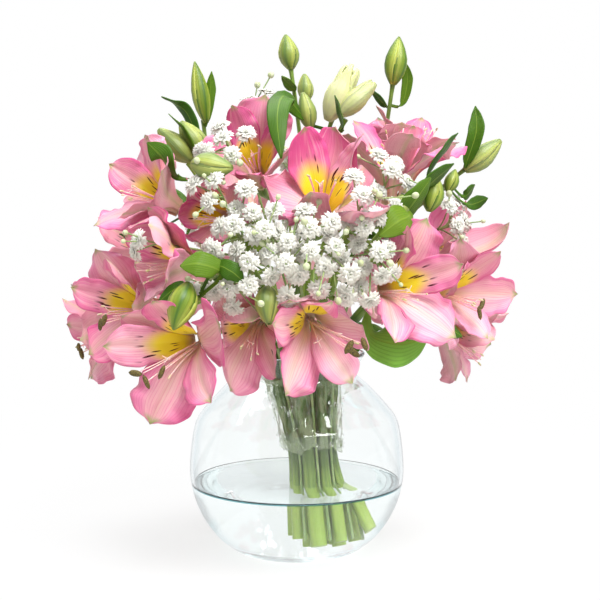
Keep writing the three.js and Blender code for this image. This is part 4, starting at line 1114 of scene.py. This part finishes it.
def style(piece, b):
    """The style, which ends in three spreading arms."""
    f, size = FRAMES[b], BLOOMS[b][7]
    t = np.linspace(0, 1, THREAD_ROWS)[:, None]
    start = f.base + f.axis * 2.4
    middle = f.base + (f.axis * 20 - f.up * 1.0) * size
    sink, sway = 2 + 3 * draw(b, 41), 3 * (draw(b, 42) - 0.5)
    tip = f.base + (f.axis * 33 - f.up * sink + f.right * sway) * size
    rod(piece, arc(start, middle, tip, t), np.linspace(0.45, 0.3, len(t)), THREAD_SIDES, slot=3)
    way = unit(tip - middle)
    for arm in range(3):
        turn = 2.1 * arm + ROUND * draw(b, 43)
        out = f.up * math.cos(turn) + f.right * math.sin(turn)
        s = np.linspace(0, 1, 5)[:, None]
        rod(piece, tip + way * 2.6 * s + out * 2.4 * s**2, np.linspace(0.3, 0.14, 5), 5, slot=3)


def cup(piece, b):
    """The closed cup where the tepals join, seen between their claws."""
    f = FRAMES[b]
    profile = [(0, 0), (1.6, 0), (2.4, 0.6), (3.1, 1.9), (3.45, 3.2), (3.3, 4.4), (2.3, 4.6), (0, 3.6)]
    ways = np.stack([f.up, f.right, f.axis])
    part = Piece()
    lathe(part, profile, 18)
    points = np.vstack(part.points) @ ways + f.base
    piece.add(points, [face[::-1] for face in part.faces], slot=5)


# ---------------------------------------------------------------- stems, buds and leaves
class Bar:
    """One stem or pedicel: its line, and where its straight pieces of wood begin and end."""

    def __init__(self, line, rings, kind):
        self.line, self.rings, self.kind = line, rings, kind

    def on(self, share):
        """Point in the middle of the solid's bar, which is straight between its rings."""
        t = np.array([r[0] for r in self.rings])
        return np.stack([np.interp(share, t, self.line.at(t)[:, c]) for c in range(3)], -1)


def stem_bars(s):
    """Bars of one leafy stem: the stem, a pedicel to each flower, a stalk to each bud."""
    ring, azimuth, radius, umbel, foot = STEMS[s]
    lean = np.array([7.0 if s + 1 == LEANING else 0.0, 0, 0])
    at = np.array(umbel, float)
    line = through([
        in_bundle(foot, azimuth, RING[ring]) + lean,
        in_bundle(30, azimuth, RING[ring]) + lean * 0.5,
        in_bundle(WAIST, azimuth, RING[ring]),
        in_bundle(90, azimuth, RING[ring]),
        in_bundle(112, azimuth, RING[ring]),
        at,
    ])
    up = line.way(0.98)
    knots = (0, 0.18, 0.34, 0.47, 0.62, 0.78, 1)
    bars = [Bar(line, [(t, radius * (1 - 0.12 * t)) for t in knots], "stem")]

    def reach(end, along, extra, rings, kind):
        """Adds a bar from the stem's top to a flower or a bud."""
        way = unit(end - at)
        start = unit(way + up * 0.35)
        bar = bent(at - up + way * 0.8, start, end, along, 0.34)
        bars.append(Bar(bar, rings(extra / bar.length), kind))

    for b, row in enumerate(BLOOMS):
        if row[0] == s + 1:
            f = FRAMES[b]
            reach(f.base - f.axis * SEAT, f.axis, 10.5, lambda k: [
                (0, PEDICEL_R), (0.6 * (1 - k), PEDICEL_R), (1 - 0.9 * k, PEDICEL_R),
                (1 - 0.3 * k, 2.7), (1, 1.9)], "pedicel")
    for n, row in enumerate(BUDS):
        if row[0] == s + 1:
            base, tip = np.array(row[1:4], float), np.array(row[4:7], float)
            r = row[7] / 2
            reach(tip, unit(tip - base), np.linalg.norm(tip - base), lambda k: [
                (0, 1.2), (0.45 * (1 - k), 1.1), (1 - 0.98 * k, 1.1), (1 - 0.62 * k, r),
                (1 - 0.26 * k, r * 0.66), (1, 0)], "bud %d" % n)
    return bars


WOOD = [stem_bars(s) for s in range(len(STEMS))]


def nearest_wood(p):
    """Nearest point of a stem or pedicel above the neck of the vase, and its stem."""
    best = None
    for s, bars in enumerate(WOOD):
        for bar in bars:
            q = bar.on(np.arange(31) / 30)
            d = np.linalg.norm(q - p, axis=1)
            d[q[:, 2] <= 80] = 1e9
            i = int(d.argmin())
            if best is None or d[i] < best[0]:
                best = (d[i], q[i], s)
    return best[1], best[2]


def bud(piece, row, n):
    """A closed bud: three outer and three inner tepals wrapped round each other to a point."""
    base, tip = np.array(row[1:4], float), np.array(row[4:7], float)
    axis, long, radius, gape = unit(tip - base), np.linalg.norm(tip - base), row[7] / 2, row[8]
    e1 = unit(np.cross(axis, [0.3, 1.0, 0.2]))
    e2 = np.cross(axis, e1)
    u = 1 - (1 - np.linspace(0, 1, BUD_GRID[0])) ** 1.15
    v = np.linspace(-1, 1, BUD_GRID[1])
    U, V = np.meshgrid(u, v, indexing="ij")
    shares, widths = [0, 0.12, 0.25, 0.4, 0.55, 0.74, 0.9, 1], [0.26, 0.62, 0.88, 1, 0.96, 0.7, 0.34, 0.05]
    shape = np.interp(u, shares, widths)
    pale = min(1.0, gape * 1.6)
    for j in range(6):
        inner = j % 2
        turn = ROUND * draw(n, 51) + j * math.pi / 3 + 0.35 * U + (0.15 if inner else 0) * V
        half = math.radians(64 if not inner else 48)
        half = half * (1 - 0.8 * min(1.0, 1.8 * gape) * smooth(0.45, 1.0, U))
        angle = turn + V * half
        rho = radius * shape[:, None] * (0.9 if inner else 1.0)
        rho = rho * (1 + 0.05 * V + 0.06 * np.exp(-(V / 0.25)**2)) + gape * radius * smooth(0.55, 1, U)**1.5
        rho = rho * (1 - 0.10 * np.abs(V)**4)
        run = long * U * (1.0 if not inner else 0.95 + 0.04 * draw(n * 6 + j, 52))
        grid = (base + axis * run[..., None]
                + rho[..., None] * (np.cos(angle)[..., None] * e1 + np.sin(angle)[..., None] * e2))
        maps = np.stack([0.5 + 0.5 * V, U], -1)
        sheet_solid(piece, grid[:, ::-1], 0.45, maps[:, ::-1], tone=(pale, draw(n, 53), 0), slot=1)


def leaf(piece, row, n, greens):
    """A leaf from its stem: a narrow stalk, then a blade folded a little along its rib."""
    start, _ = nearest_wood(np.array(row[2], float))
    points = np.array([start, *row[2:]], float)
    curve = spline(points)
    stalk = 1 / (len(points) - 1)  # share of the curve that is the leaf's stalk
    width = row[0] / 2
    if row[0] < 13:
        shares, widths = [0, 0.08, 0.3, 0.6, 0.85, 1], [0.22, 0.55, 0.9, 1, 0.55, 0.03]
    else:
        shares, widths = [0, 0.2, 0.45, 0.8, 0.94, 1], [0.35, 0.78, 1, 0.62, 0.26, 0.02]
    on_stalk, on_blade = (np.linspace(0, 1, count) for count in LEAF_ROWS)
    t = np.concatenate([on_stalk[:-1] * stalk, stalk + (1 - stalk) * on_blade])
    p = curve(t)
    way = heading(curve, t)
    blade = (t - stalk) / (1 - stalk)
    w = width * np.interp(blade, shares, widths)
    w = np.where(blade < 0, np.maximum(0.8, width * widths[0] * smooth(-0.4, 0, blade)), w)
    w = eased(w)
    out = unit(np.stack([p[:, 0] - 2, p[:, 1], np.full(len(p), 20.0)], -1))
    side = unit(np.cross(way, out))
    roll = math.radians(row[1])
    side = side * math.cos(roll) + np.cross(way, side) * math.sin(roll)
    face = unit(np.cross(side, way))
    v = np.linspace(-1, 1, LEAF_COLUMNS)
    U, V = np.meshgrid(t, v, indexing="ij")
    W = w[:, None]
    wave = 0.07 * np.sin(16 * U + 2.5 * np.sign(V) + ROUND * draw(n, 61)) * smooth(0.2, 1, np.abs(V))
    lift = -0.18 * W * np.abs(V)**1.3 + wave * W * smooth(0.2, 0.6, U)
    grid = p[:, None] + side[:, None] * (V * W)[..., None] + face[:, None] * lift[..., None]
    maps = np.stack([0.5 + 0.5 * V, U], -1)
    thick = greens.leaf_thick / MM
    # painted light: how lit the leaf is drawn, at random, and most on the broad low leaves
    lit = min(1.3, 0.15 + 0.7 * draw(n, 62) + max(0.0, row[0] - 13) / 10)
    sheet_solid(piece, grid, thick * np.ones_like(U)[..., None], maps, tone=(lit, draw(n, 63), 0), slot=0)


# ---------------------------------------------------------------- gypsophila
Floret = namedtuple("Floret", "spray sprig k id out size")


def floret_places():
    """Where the florets sit: spread round the middle of their sprig, then moved apart."""
    florets, places = [], []
    for s, spray in enumerate(SPRAYS):
        for i, sprig in enumerate(spray[4]):
            centre = np.array(sprig[:3], float)
            out = unit(centre - HEART)
            e1 = unit(np.cross(out, [0, 0, 1.0]))
            e2 = np.cross(e1, out)
            for k in range(sprig[3]):
                mark = s * 100 + i * 10 + k
                ring = SPREAD * math.sqrt(k + 0.1)
                turn = TURN * k + ROUND * draw(s * 10 + i, 22)
                places.append(centre + e1 * ring * math.cos(turn) + e2 * ring * math.sin(turn)
                              + out * (5 * (draw(mark, 23) - 0.5) - 0.03 * ring * ring))
                florets.append(Floret(s, i, k, mark, out, 0.92 + 0.16 * draw(mark, 24)))
    places = np.array(places)
    for _ in range(12):
        for a in range(len(florets)):
            for b in range(a + 1, len(florets)):
                gap = places[b] - places[a]
                d = math.sqrt(gap.dot(gap))
                need = FLORET_REACH * (florets[a].size + florets[b].size) + 1.2
                if d < need:
                    way = gap * (need - d) / (2 * d)
                    places[a] -= way
                    places[b] += way
    return florets, places


def floret_shape(radius):
    """One double floret: whorls of narrow notched petals, steeper towards its heart."""
    piece = Piece()
    up = np.array([[0, 0, 1.0]])
    t = np.array([0.0, 0.45, 0.8, 1.0])
    v = np.array([-1.0, 0, 1.0])
    for w, (count, long, lean, wide) in enumerate(WHORLS):
        for j in range(count):
            mark = w * 20 + j
            turn = 2 * math.pi * (j + 0.5 * (w % 2)) / count + 0.35 * (draw(mark, 71) - 0.5)
            tilt = math.radians(lean + 16 * (draw(mark, 72) - 0.5))
            reach = radius * long * (0.92 + 0.16 * draw(mark, 73))
            out = np.array([math.cos(turn), math.sin(turn), 0])
            side = np.array([-math.sin(turn), math.cos(turn), 0])
            a = (tilt * (0.55 + 0.6 * t))[:, None]
            line = (out * np.sin(a) + up * np.cos(a)) * (t * reach)[:, None]
            half = radius * wide * np.array([0.3, 0.72, 1.0, 0.78])
            grid = line[:, None] + side * (half[:, None] * v)[..., None]
            normal = out * np.cos(a) - up * np.sin(a)
            grid = grid - normal[:, None] * (0.22 * half[:, None] * np.abs(v))[..., None]
            grid[-1, 1] -= (line[-1] - line[-2]) * 0.7  # the notch
            maps = np.stack(np.meshgrid(t, v, indexing="ij"), -1)
            sheet_solid(piece, grid[:, ::-1], 0.18, maps)
            piece.tones[-1] = np.tile(np.repeat(t, 3)[:, None], (2, 3))
    return piece


def small_bud_shape():
    """A round unopened bud, 3 mm across."""
    piece = Piece()
    t = np.linspace(0, math.pi, 8)
    profile = np.stack([1.3 * np.sin(t), 1.3 - 1.45 * np.cos(t)], -1)
    lathe(piece, profile, 10, tone=(0.2, 0.5, 0.5))
    return piece


# ---------------------------------------------------------------- operators
def place_camera(scene):
    """Camera that looks a little down on the bouquet from the front."""
    camera = bpy.data.cameras.new("camera")
    camera.sensor_width, camera.lens = SENSOR, LENS
    camera.clip_start = 0.01
    stand = link_object("camera", camera)
    stand.location = Vector(EYE) * MM
    stand.rotation_euler = (math.radians(90 - LOOK_DOWN), 0, 0)
    scene.camera = stand


def paper_floor(context):
    """Paper round the vase, painted to glow faintly near the vase and almost fully far from it, so that it
    runs into the white room as bright as its wall.
    """
    bpy.ops.mesh.primitive_plane_add(size=8.0, location=(0, 0, -0.0002))
    floor = context.object
    floor.name = "studio_floor"
    made, node = new_material("white_paper_sweep")
    away = node("LENGTH", node("PLACE"))
    # painted light: the glow rises with the distance from the vase, so the lamps' cast shadows fade out away
    # from it
    far = node("ADD", node("RAMP", away, 0.0, 0.16, 0.3, 0.95), node("RAMP", away, 0.16, 0.5, 0.0, 0.05))
    # it throws little light back up, so that the flowers are lit from above
    bounced = add_node(made.node_tree, "ShaderNodeLightPath").outputs["Is Diffuse Ray"]
    floor.data.materials.append(set_shader(made, {
        "Base Color": coated(node, "#dadad9", (far, "#000000"), (bounced, "#c8c4bc")),
        "Emission Color": (1, 1, 1, 1),
        "Emission Strength": node("MULTIPLY", far, node("SUBTRACT", 1.0, bounced)),
        "Specular IOR Level": 0.0,
        "Roughness": 0.9,
    }))


def white_room(scene):
    """A white room, which lights the flowers more softly from below than from above."""
    world = bpy.data.worlds.new("white_room")
    scene.world = world
    world.use_nodes = True
    tree = world.node_tree
    node = partial(wired, tree)
    _, ahead, high = node("PARTS", add_node(tree, "ShaderNodeTexCoord").outputs["Generated"])
    path = add_node(tree, "ShaderNodeLightPath").outputs
    strength = node("BLEND", path["Is Diffuse Ray"], 1.0, node("RAMP", high, -0.1, 0.6, 0.1, 0.44))
    # the far sides of the room, seen in glass at a glance, are duller than the wall behind
    dull = node("RAMP", node("ABSOLUTE", ahead), 0.35, 0.8, 0.66, 1.0)
    outside = node("SUBTRACT", 1.0, path["Is Transmission Ray"])
    mirrored = node("MULTIPLY", path["Is Glossy Ray"], outside)
    strength = node("BLEND", mirrored, strength, node("MULTIPLY", strength, dull))
    wall = tree.nodes["Background"].inputs
    feed(tree, wall["Strength"], strength)
    feed(tree, wall["Color"], (1, 1, 1, 1))


def hang_lamps():
    """Two soft square lamps above the bouquet, one before it and one behind."""
    for name, place, side, watts in LAMPS:
        light = bpy.data.lights.new(name, "AREA")
        light.energy, light.size = watts, side
        lamp = link_object(name, light)
        lamp.location = place
        lamp.rotation_euler = (Vector(LAMPS_AIM) - Vector(place)).to_track_quat("-Z", "Y").to_euler()


class BOUQUET_OT_stage(bpy.types.Operator):
    """Pale floor, soft studio light and the camera"""

    bl_idname = "bouquet.stage"
    bl_label = "Stage"

    def execute(self, context):
        scene = context.scene
        scene.view_settings.view_transform = "Standard"
        for name, count in BOUNCES.items():
            setattr(scene.cycles, name, count)
        place_camera(scene)
        paper_floor(context)
        white_room(scene)
        hang_lamps()
        return {"FINISHED"}


def vase_walls(wall):
    """Outer and inner side of the vase's wall as rows of (radius, height), from low to high."""
    line = spline([(BASE_R + 4, 0.8), *VASE_OUT])
    t = np.linspace(0, 1, 90)
    p, way = line(t), heading(line, t)
    inside = p + np.stack([-way[:, 1], way[:, 0]], -1) * wall
    return p, inside[inside[:, 1] > FLOOR + 2.5]


def vase_bottom(last, floor):
    """Hollow side of the vase's thick bottom, from the wall to the axis."""
    hollow = spline([last, (last[0] - 3.2, floor + 0.8), (last[0] - 9, floor), (12, floor), (0, floor)])
    return hollow(np.linspace(0.03, 1, 24))


def turned(name, profile, skin, slot, node):
    """A clear piece turned round the vase's axis, which lets the light through to the floor."""
    piece = Piece()
    lathe(piece, profile, VASE_SIDES)
    made = piece.build(name, [skin])
    made.visible_shadow = False
    dress(made, slot, node)


class BOUQUET_OT_vase(bpy.types.Operator):
    """Round vase of clear glass with a flared lip"""

    bl_idname = "bouquet.vase"
    bl_label = "Glass vase"

    def execute(self, context):
        out, inside = vase_walls(context.scene.bouquet_vase.wall / MM)
        lip_centre = (out[-1] + inside[-1]) / 2
        turn = np.linspace(0, math.pi, 7)[1:-1, None]
        across = out[-1] - lip_centre
        lip = lip_centre + np.cos(turn) * across + np.sin(turn) * np.array([-across[1], across[0]])
        foot = np.array([(0, 0), (BASE_R - 6, 0), (BASE_R, 0), (FLARE_R, 0.25)])
        profile = np.vstack([foot, out, lip, inside[::-1], vase_bottom(inside[0], FLOOR)])
        glass = clear_skin("clear_soda_glass", "#fdffff", "#bcd2dc", 1.5)
        turned("glass_vase", profile, glass, "glass", "vase")
        return {"FINISHED"}


class BOUQUET_OT_water(bpy.types.Operator):
    """Clear water with a raised rim where it wets the glass"""

    bl_idname = "bouquet.water"
    bl_label = "Water"

    def execute(self, context):
        vase = context.scene.bouquet_vase
        rise = vase.meniscus / MM
        edge = WATER_LEVEL + rise
        _, inside = vase_walls(vase.wall / MM + WET)
        wet = inside[inside[:, 1] < edge]
        r = np.interp(edge, inside[:, 1], inside[:, 0])
        t = np.array([0.0, 0.15, 0.35, 0.6, 1.0, 1.6, 2.6])
        top = np.stack([r - 0.05 - t * 0.9, WATER_LEVEL + rise * np.exp(-t * 2.4)], -1)
        bottom = vase_bottom(wet[0], FLOOR + WET)[::-1]
        profile = np.vstack([bottom, wet, [(r, edge)], top, [(20, WATER_LEVEL), (0, WATER_LEVEL)]])
        water = clear_skin("clear_water", "#fcfefe", "#dceaef", 1.333, rim=(WATER_LEVEL - 0.4) * MM)
        turned("vase_water", profile, water, "water", "water")
        return {"FINISHED"}


class BOUQUET_OT_film(bpy.types.Operator):
    """Clear film wrapped round the stems, creased, with drops along its lower edge"""

    bl_idname = "bouquet.film"
    bl_label = "Film"

    def execute(self, context):
        rows, columns = FILM_GRID
        t = np.linspace(0, 1, rows)[:, None]
        az = np.linspace(0, 2 * math.pi, columns, endpoint=False)[None]
        low = 1.6 * np.sin(3 * az + 0.6) + 1.1 * np.sin(8 * az + 2) + 0.6 * np.sin(19 * az)
        high = 1.4 * np.sin(4 * az + 1.9) + 0.8 * np.sin(11 * az)
        z = FILM[0] + t * (FILM[1] - FILM[0]) + low * smooth(0.35, 0, t) + high * smooth(0.65, 1, t)
        crease = 0.45 * np.sin(9 * az + 2.2 * np.sin(z / 7)) + 0.3 * np.sin(17 * az - z / 4)
        crease = crease + 0.35 * np.abs(np.sin(5 * az + z / 11)) + 0.18 * np.sin(31 * az + z / 2)
        crease = crease * (0.7 + 0.6 * smooth(0.3, 0, t) + 0.5 * smooth(0.7, 1, t))
        flap = 8.5 * np.exp(-((az - 1.5) / 0.10)**2) * np.exp(-((z - 87) / 2.6)**2)
        r = RING[1] * bundle_at(2, z) + 5.0 + crease + flap
        out = np.stack([np.sin(az) + 0 * r, -np.cos(az) + 0 * r, 0 * r], -1)
        grid = out * r[..., None] + np.stack([bundle_at(1, z), 0 * z, z], -1)
        face = out * context.scene.bouquet_vase.film_thick / MM / 2
        walls = grid_faces(rows, columns, closed=True)
        n, last = rows * columns, (rows - 1) * columns
        j = np.arange(columns)
        k = (j + 1) % columns
        foot = np.stack([k, j, j + n, k + n], -1)
        head = np.stack([j + last, k + last, k + last + n, j + last + n], -1)
        piece = Piece()
        piece.add(both_sides(grid, face), np.concatenate([walls, walls[:, ::-1] + n, foot, head]))
        dress(piece.build("film_wrap", [film_skin("clear_film")]), "film", "stem_film")
        # drops on the outside, most of them along the lower edge
        skin = clear_skin("water_drop", "#ffffff", "#e4ecee", 1.333)
        shape = drop_shape().build("drop_shape", [skin])
        outer = Piece()
        outer.add((grid + face).reshape(-1, 3), walls)
        wet = smooth(0.24, 0.0, t) + 0.35 * np.exp(-((t - 0.62) / 0.08)**2) + 0.06
        base = outer.build("film_drops", [skin])
        layer = base.data.attributes.new("wet", "FLOAT", "POINT")
        layer.data.foreach_set("value", np.broadcast_to(wet, FILM_GRID).astype(np.float32).ravel())
        drops = run_nodes(base, drop_tree(), {"Drop": shape, "Density": DROPS, "Skin": skin})
        dress(drops, "water", "stem_film")
        bpy.data.objects.remove(shape)
        return {"FINISHED"}


def bar_line(bar):
    """Points and radii along a bar; a bud's stalk ends a little inside the bud."""
    share = np.linspace(0, 1, 46 if bar.kind == "stem" else 30)
    if bar.kind.startswith("bud"):
        share = share * (bar.rings[2][0] + 0.01)
    return bar.line.at(share), eased(np.interp(share, *zip(*bar.rings)))


class BOUQUET_OT_stems(bpy.types.Operator):
    """Stems with their pedicels, buds and leaves"""

    bl_idname = "bouquet.stems"
    bl_label = "Stems, buds and leaves"

    def execute(self, context):
        greens = context.scene.bouquet_green
        skin = stem_skin("green_stem", greens)
        blades = [leaf_skin("green_leaf", greens), bud_skin("bud_green", greens)]
        owner = [nearest_wood(np.array(row[2], float))[1] for row in LEAVES]
        for s, bars in enumerate(WOOD):
            number = "%02d" % (s + 1)
            node = "leafy_stem_" + number
            lines = [bar_line(bar) for bar in bars]
            dress(stalk_piece("stalks_" + number, lines, STALK_SIDES, skin), "green", node)
            piece = Piece()
            for n, row in enumerate(LEAVES):
                if owner[n] == s:
                    leaf(piece, row, n, greens)
            for n, row in enumerate(BUDS):
                if row[0] == s + 1:
                    bud(piece, row, n)
            if piece.count:
                dress(piece.build("leaves_" + number, blades), "green", node)
        return {"FINISHED"}


class BOUQUET_OT_flowers(bpy.types.Operator):
    """Alstroemeria flowers: six tepals, six stamens and a style each"""

    bl_idname = "bouquet.flowers"
    bl_label = "Alstroemeria flowers"

    def execute(self, context):
        flowers = context.scene.bouquet_flower
        skins = [
            tepal_skin("outer_tepal", flowers, False, 1.0, 0.85),
            tepal_skin("upper_inner_tepal", flowers, True, 0.33, 1.0),
            tepal_skin("lower_inner_tepal", flowers, False, 0.85, 0.6),
            plain_skin("filament", "#f2dccb", "#f0b9c4", 0.4, soft=0.3),
            plain_skin("ripe_anther", "#75682f", "#3f341a", 0.75, grain_mm=0.3),
            plain_skin("flower_cup", "#e3c9b4", "#b9bb7c", 0.5, grain_mm=2),
        ]
        for b in range(len(BLOOMS)):
            piece = Piece()
            for k in range(len(TURNS)):
                tepal(piece, b, k, flowers)
            stamens(piece, b)
            style(piece, b)
            cup(piece, b)
            made = piece.build("flower_%02d" % (b + 1), skins)
            dress(made, "petal", "bloom_%02d" % (b + 1))
        return {"FINISHED"}


class Spray:
    """One spray as it grows: its stalks, and the spot, aim, size and kind of each floret or bud."""

    def __init__(self, main):
        self.lines = [(main.at(np.linspace(0, 1, 40)), np.full(40, SPRAY_R))]
        self.spots, self.aims, self.sizes, self.closed = [], [], [], []

    def stalk(self, branch, root, end, way, radius):
        """A thin stalk that leaves its branch and ends at a floret or a bud."""
        line = bent(root, unit(branch.way(0.7) + way), end, way, 0.3)
        self.lines.append((line.at(np.linspace(0, 1, 9)), np.full(9, radius)))

    def put(self, spot, aim, size, closed):
        """Sets one floret, or a bud where it is closed, on a spot."""
        self.spots.append(spot)
        self.aims.append(aim)
        self.sizes.append(size)
        self.closed.append(closed)

    def florets(self, branch, own):
        """Open florets of one sprig, the first one at the end of its branch."""
        for n, (f, at) in enumerate(own):
            root = branch.at(1 - min(0.8, (13 + 2.4 * f.k) / branch.length))
            way = unit(at - root) if n else f.out
            if n:
                self.stalk(branch, root, at, way, STALK_R)
            wild = np.array([draw(f.id, c) - 0.5 for c in (26, 27, 28)])
            self.put(at - way * 1.6, unit(way + 0.7 * f.out + 0.5 * wild), f.size, False)

    def buds(self, branch, own, mark):
        """A round bud beside one of the sprig's florets."""
        _, at = own[int(draw(mark, 81) * len(own))]
        root = branch.at(1 - min(0.7, (10 + 6 * draw(mark, 82)) / branch.length))
        wild = np.array([draw(mark, c) - 0.5 for c in (83, 84, 85)])
        way = unit(unit(at - root) + 0.9 * wild)
        tip = root + way * (np.linalg.norm(at - root) + 3 + 4 * draw(mark, 86))
        self.stalk(branch, root, tip, way, STALK_R * 0.8)
        self.put(tip, way, 0.7 + 0.6 * draw(mark, 87), True)

    def build(self, name):
        """The spots as points that carry what the node tree reads."""
        mesh = bpy.data.meshes.new("florets")
        mesh.from_pydata((np.array(self.spots) * MM).tolist(), [], [])
        for label, kind, key, values in (
                ("aim", "FLOAT_VECTOR", "vector", np.array(self.aims).ravel()),
                ("size", "FLOAT", "value", self.sizes), ("closed", "BOOLEAN", "value", self.closed)):
            mesh.attributes.new(label, kind, "POINT").data.foreach_set(key, values)
        return link_object(name, mesh)


class BOUQUET_OT_gypsophila(bpy.types.Operator):
    """Sprays of double white florets and small round buds"""

    bl_idname = "bouquet.gypsophila"
    bl_label = "Gypsophila"

    def execute(self, context):
        sprays = context.scene.bouquet_spray
        skin = floret_skin("white_petal", sprays)
        green = plain_skin("thin_green_stalk", "#9fb476", "#7f9a58", 0.5, grain_mm=3)
        shape = floret_shape(sprays.floret_r / MM).build("floret_shape", [skin])
        ball = small_bud_shape().build("small_bud_shape", [skin])
        florets, places = floret_places()
        tree = floret_tree()
        for s, (letter, azimuth, radius, hub, sprigs) in enumerate(SPRAYS):
            node = "gypsophila_spray_" + letter
            heights = (SPRAY_FOOT + 2 * draw(s, 21), 30, WAIST, 90, 112)
            main = through([*(in_bundle(z, azimuth, radius) for z in heights), np.array(hub, float)])
            start = np.array(hub, float) - main.way(1.0) * 0.5
            spray = Spray(main)
            for i, sprig in enumerate(sprigs):
                own = [(f, places[n]) for n, f in enumerate(florets) if f.spray == s and f.sprig == i]
                out, first = own[0][0].out, own[0][1]
                branch = bent(start, unit(first - start), first + out * 3.2, out, 0.3)
                share = np.linspace(0, 1 - 2.6 / branch.length, 26)
                spray.lines.append((branch.at(share), np.interp(share, [0, 1], [SPRAY_R, STALK_R])))
                spray.florets(branch, own)
                for n in range(2 + sprig[3] // 3):
                    spray.buds(branch, own, s * 100 + i * 10 + n)
            stalks = stalk_piece("gypsophila_stalks_" + letter, spray.lines, SPRAY_SIDES, green)
            dress(stalks, "green", node)
            made = spray.build("gypsophila_florets_" + letter)
            dress(run_nodes(made, tree, {"Floret": shape, "Bud": ball, "Skin": skin}), "floret", node)
        bpy.data.objects.remove(shape)
        bpy.data.objects.remove(ball)
        return {"FINISHED"}


class BOUQUET_PT_panel(bpy.types.Panel):
    """The bouquet's pieces and their settings"""

    bl_label = "Bouquet"
    bl_idname = "BOUQUET_PT_panel"
    bl_space_type = "VIEW_3D"
    bl_region_type = "UI"
    bl_category = "Bouquet"

    def draw(self, context):
        layout = self.layout
        for name in ("bouquet_vase", "bouquet_green", "bouquet_flower", "bouquet_spray"):
            group = getattr(context.scene, name)
            for key in group.__annotations__:
                layout.prop(group, key)
        for step in STEPS:
            layout.operator(step.bl_idname)


STEPS = (
    BOUQUET_OT_stage, BOUQUET_OT_vase, BOUQUET_OT_water, BOUQUET_OT_film,
    BOUQUET_OT_stems, BOUQUET_OT_flowers, BOUQUET_OT_gypsophila,
)
SETTINGS = (
    ("bouquet_vase", BouquetVaseSettings), ("bouquet_green", BouquetGreenSettings),
    ("bouquet_flower", BouquetFlowerSettings), ("bouquet_spray", BouquetSpraySettings),
)


def register():
    for name, group in SETTINGS:
        bpy.utils.register_class(group)
        setattr(bpy.types.Scene, name, bpy.props.PointerProperty(type=group))
    for step in (*STEPS, BOUQUET_PT_panel):
        bpy.utils.register_class(step)


def unregister():
    for step in reversed((*STEPS, BOUQUET_PT_panel)):
        bpy.utils.unregister_class(step)
    for name, group in reversed(SETTINGS):
        delattr(bpy.types.Scene, name)
        bpy.utils.unregister_class(group)


def main():
    """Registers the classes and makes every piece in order."""
    register()
    for step in STEPS:
        area, name = step.bl_idname.split(".")
        getattr(getattr(bpy.ops, area), name)()
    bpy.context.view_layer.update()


if __name__ == "__main__":
    main()
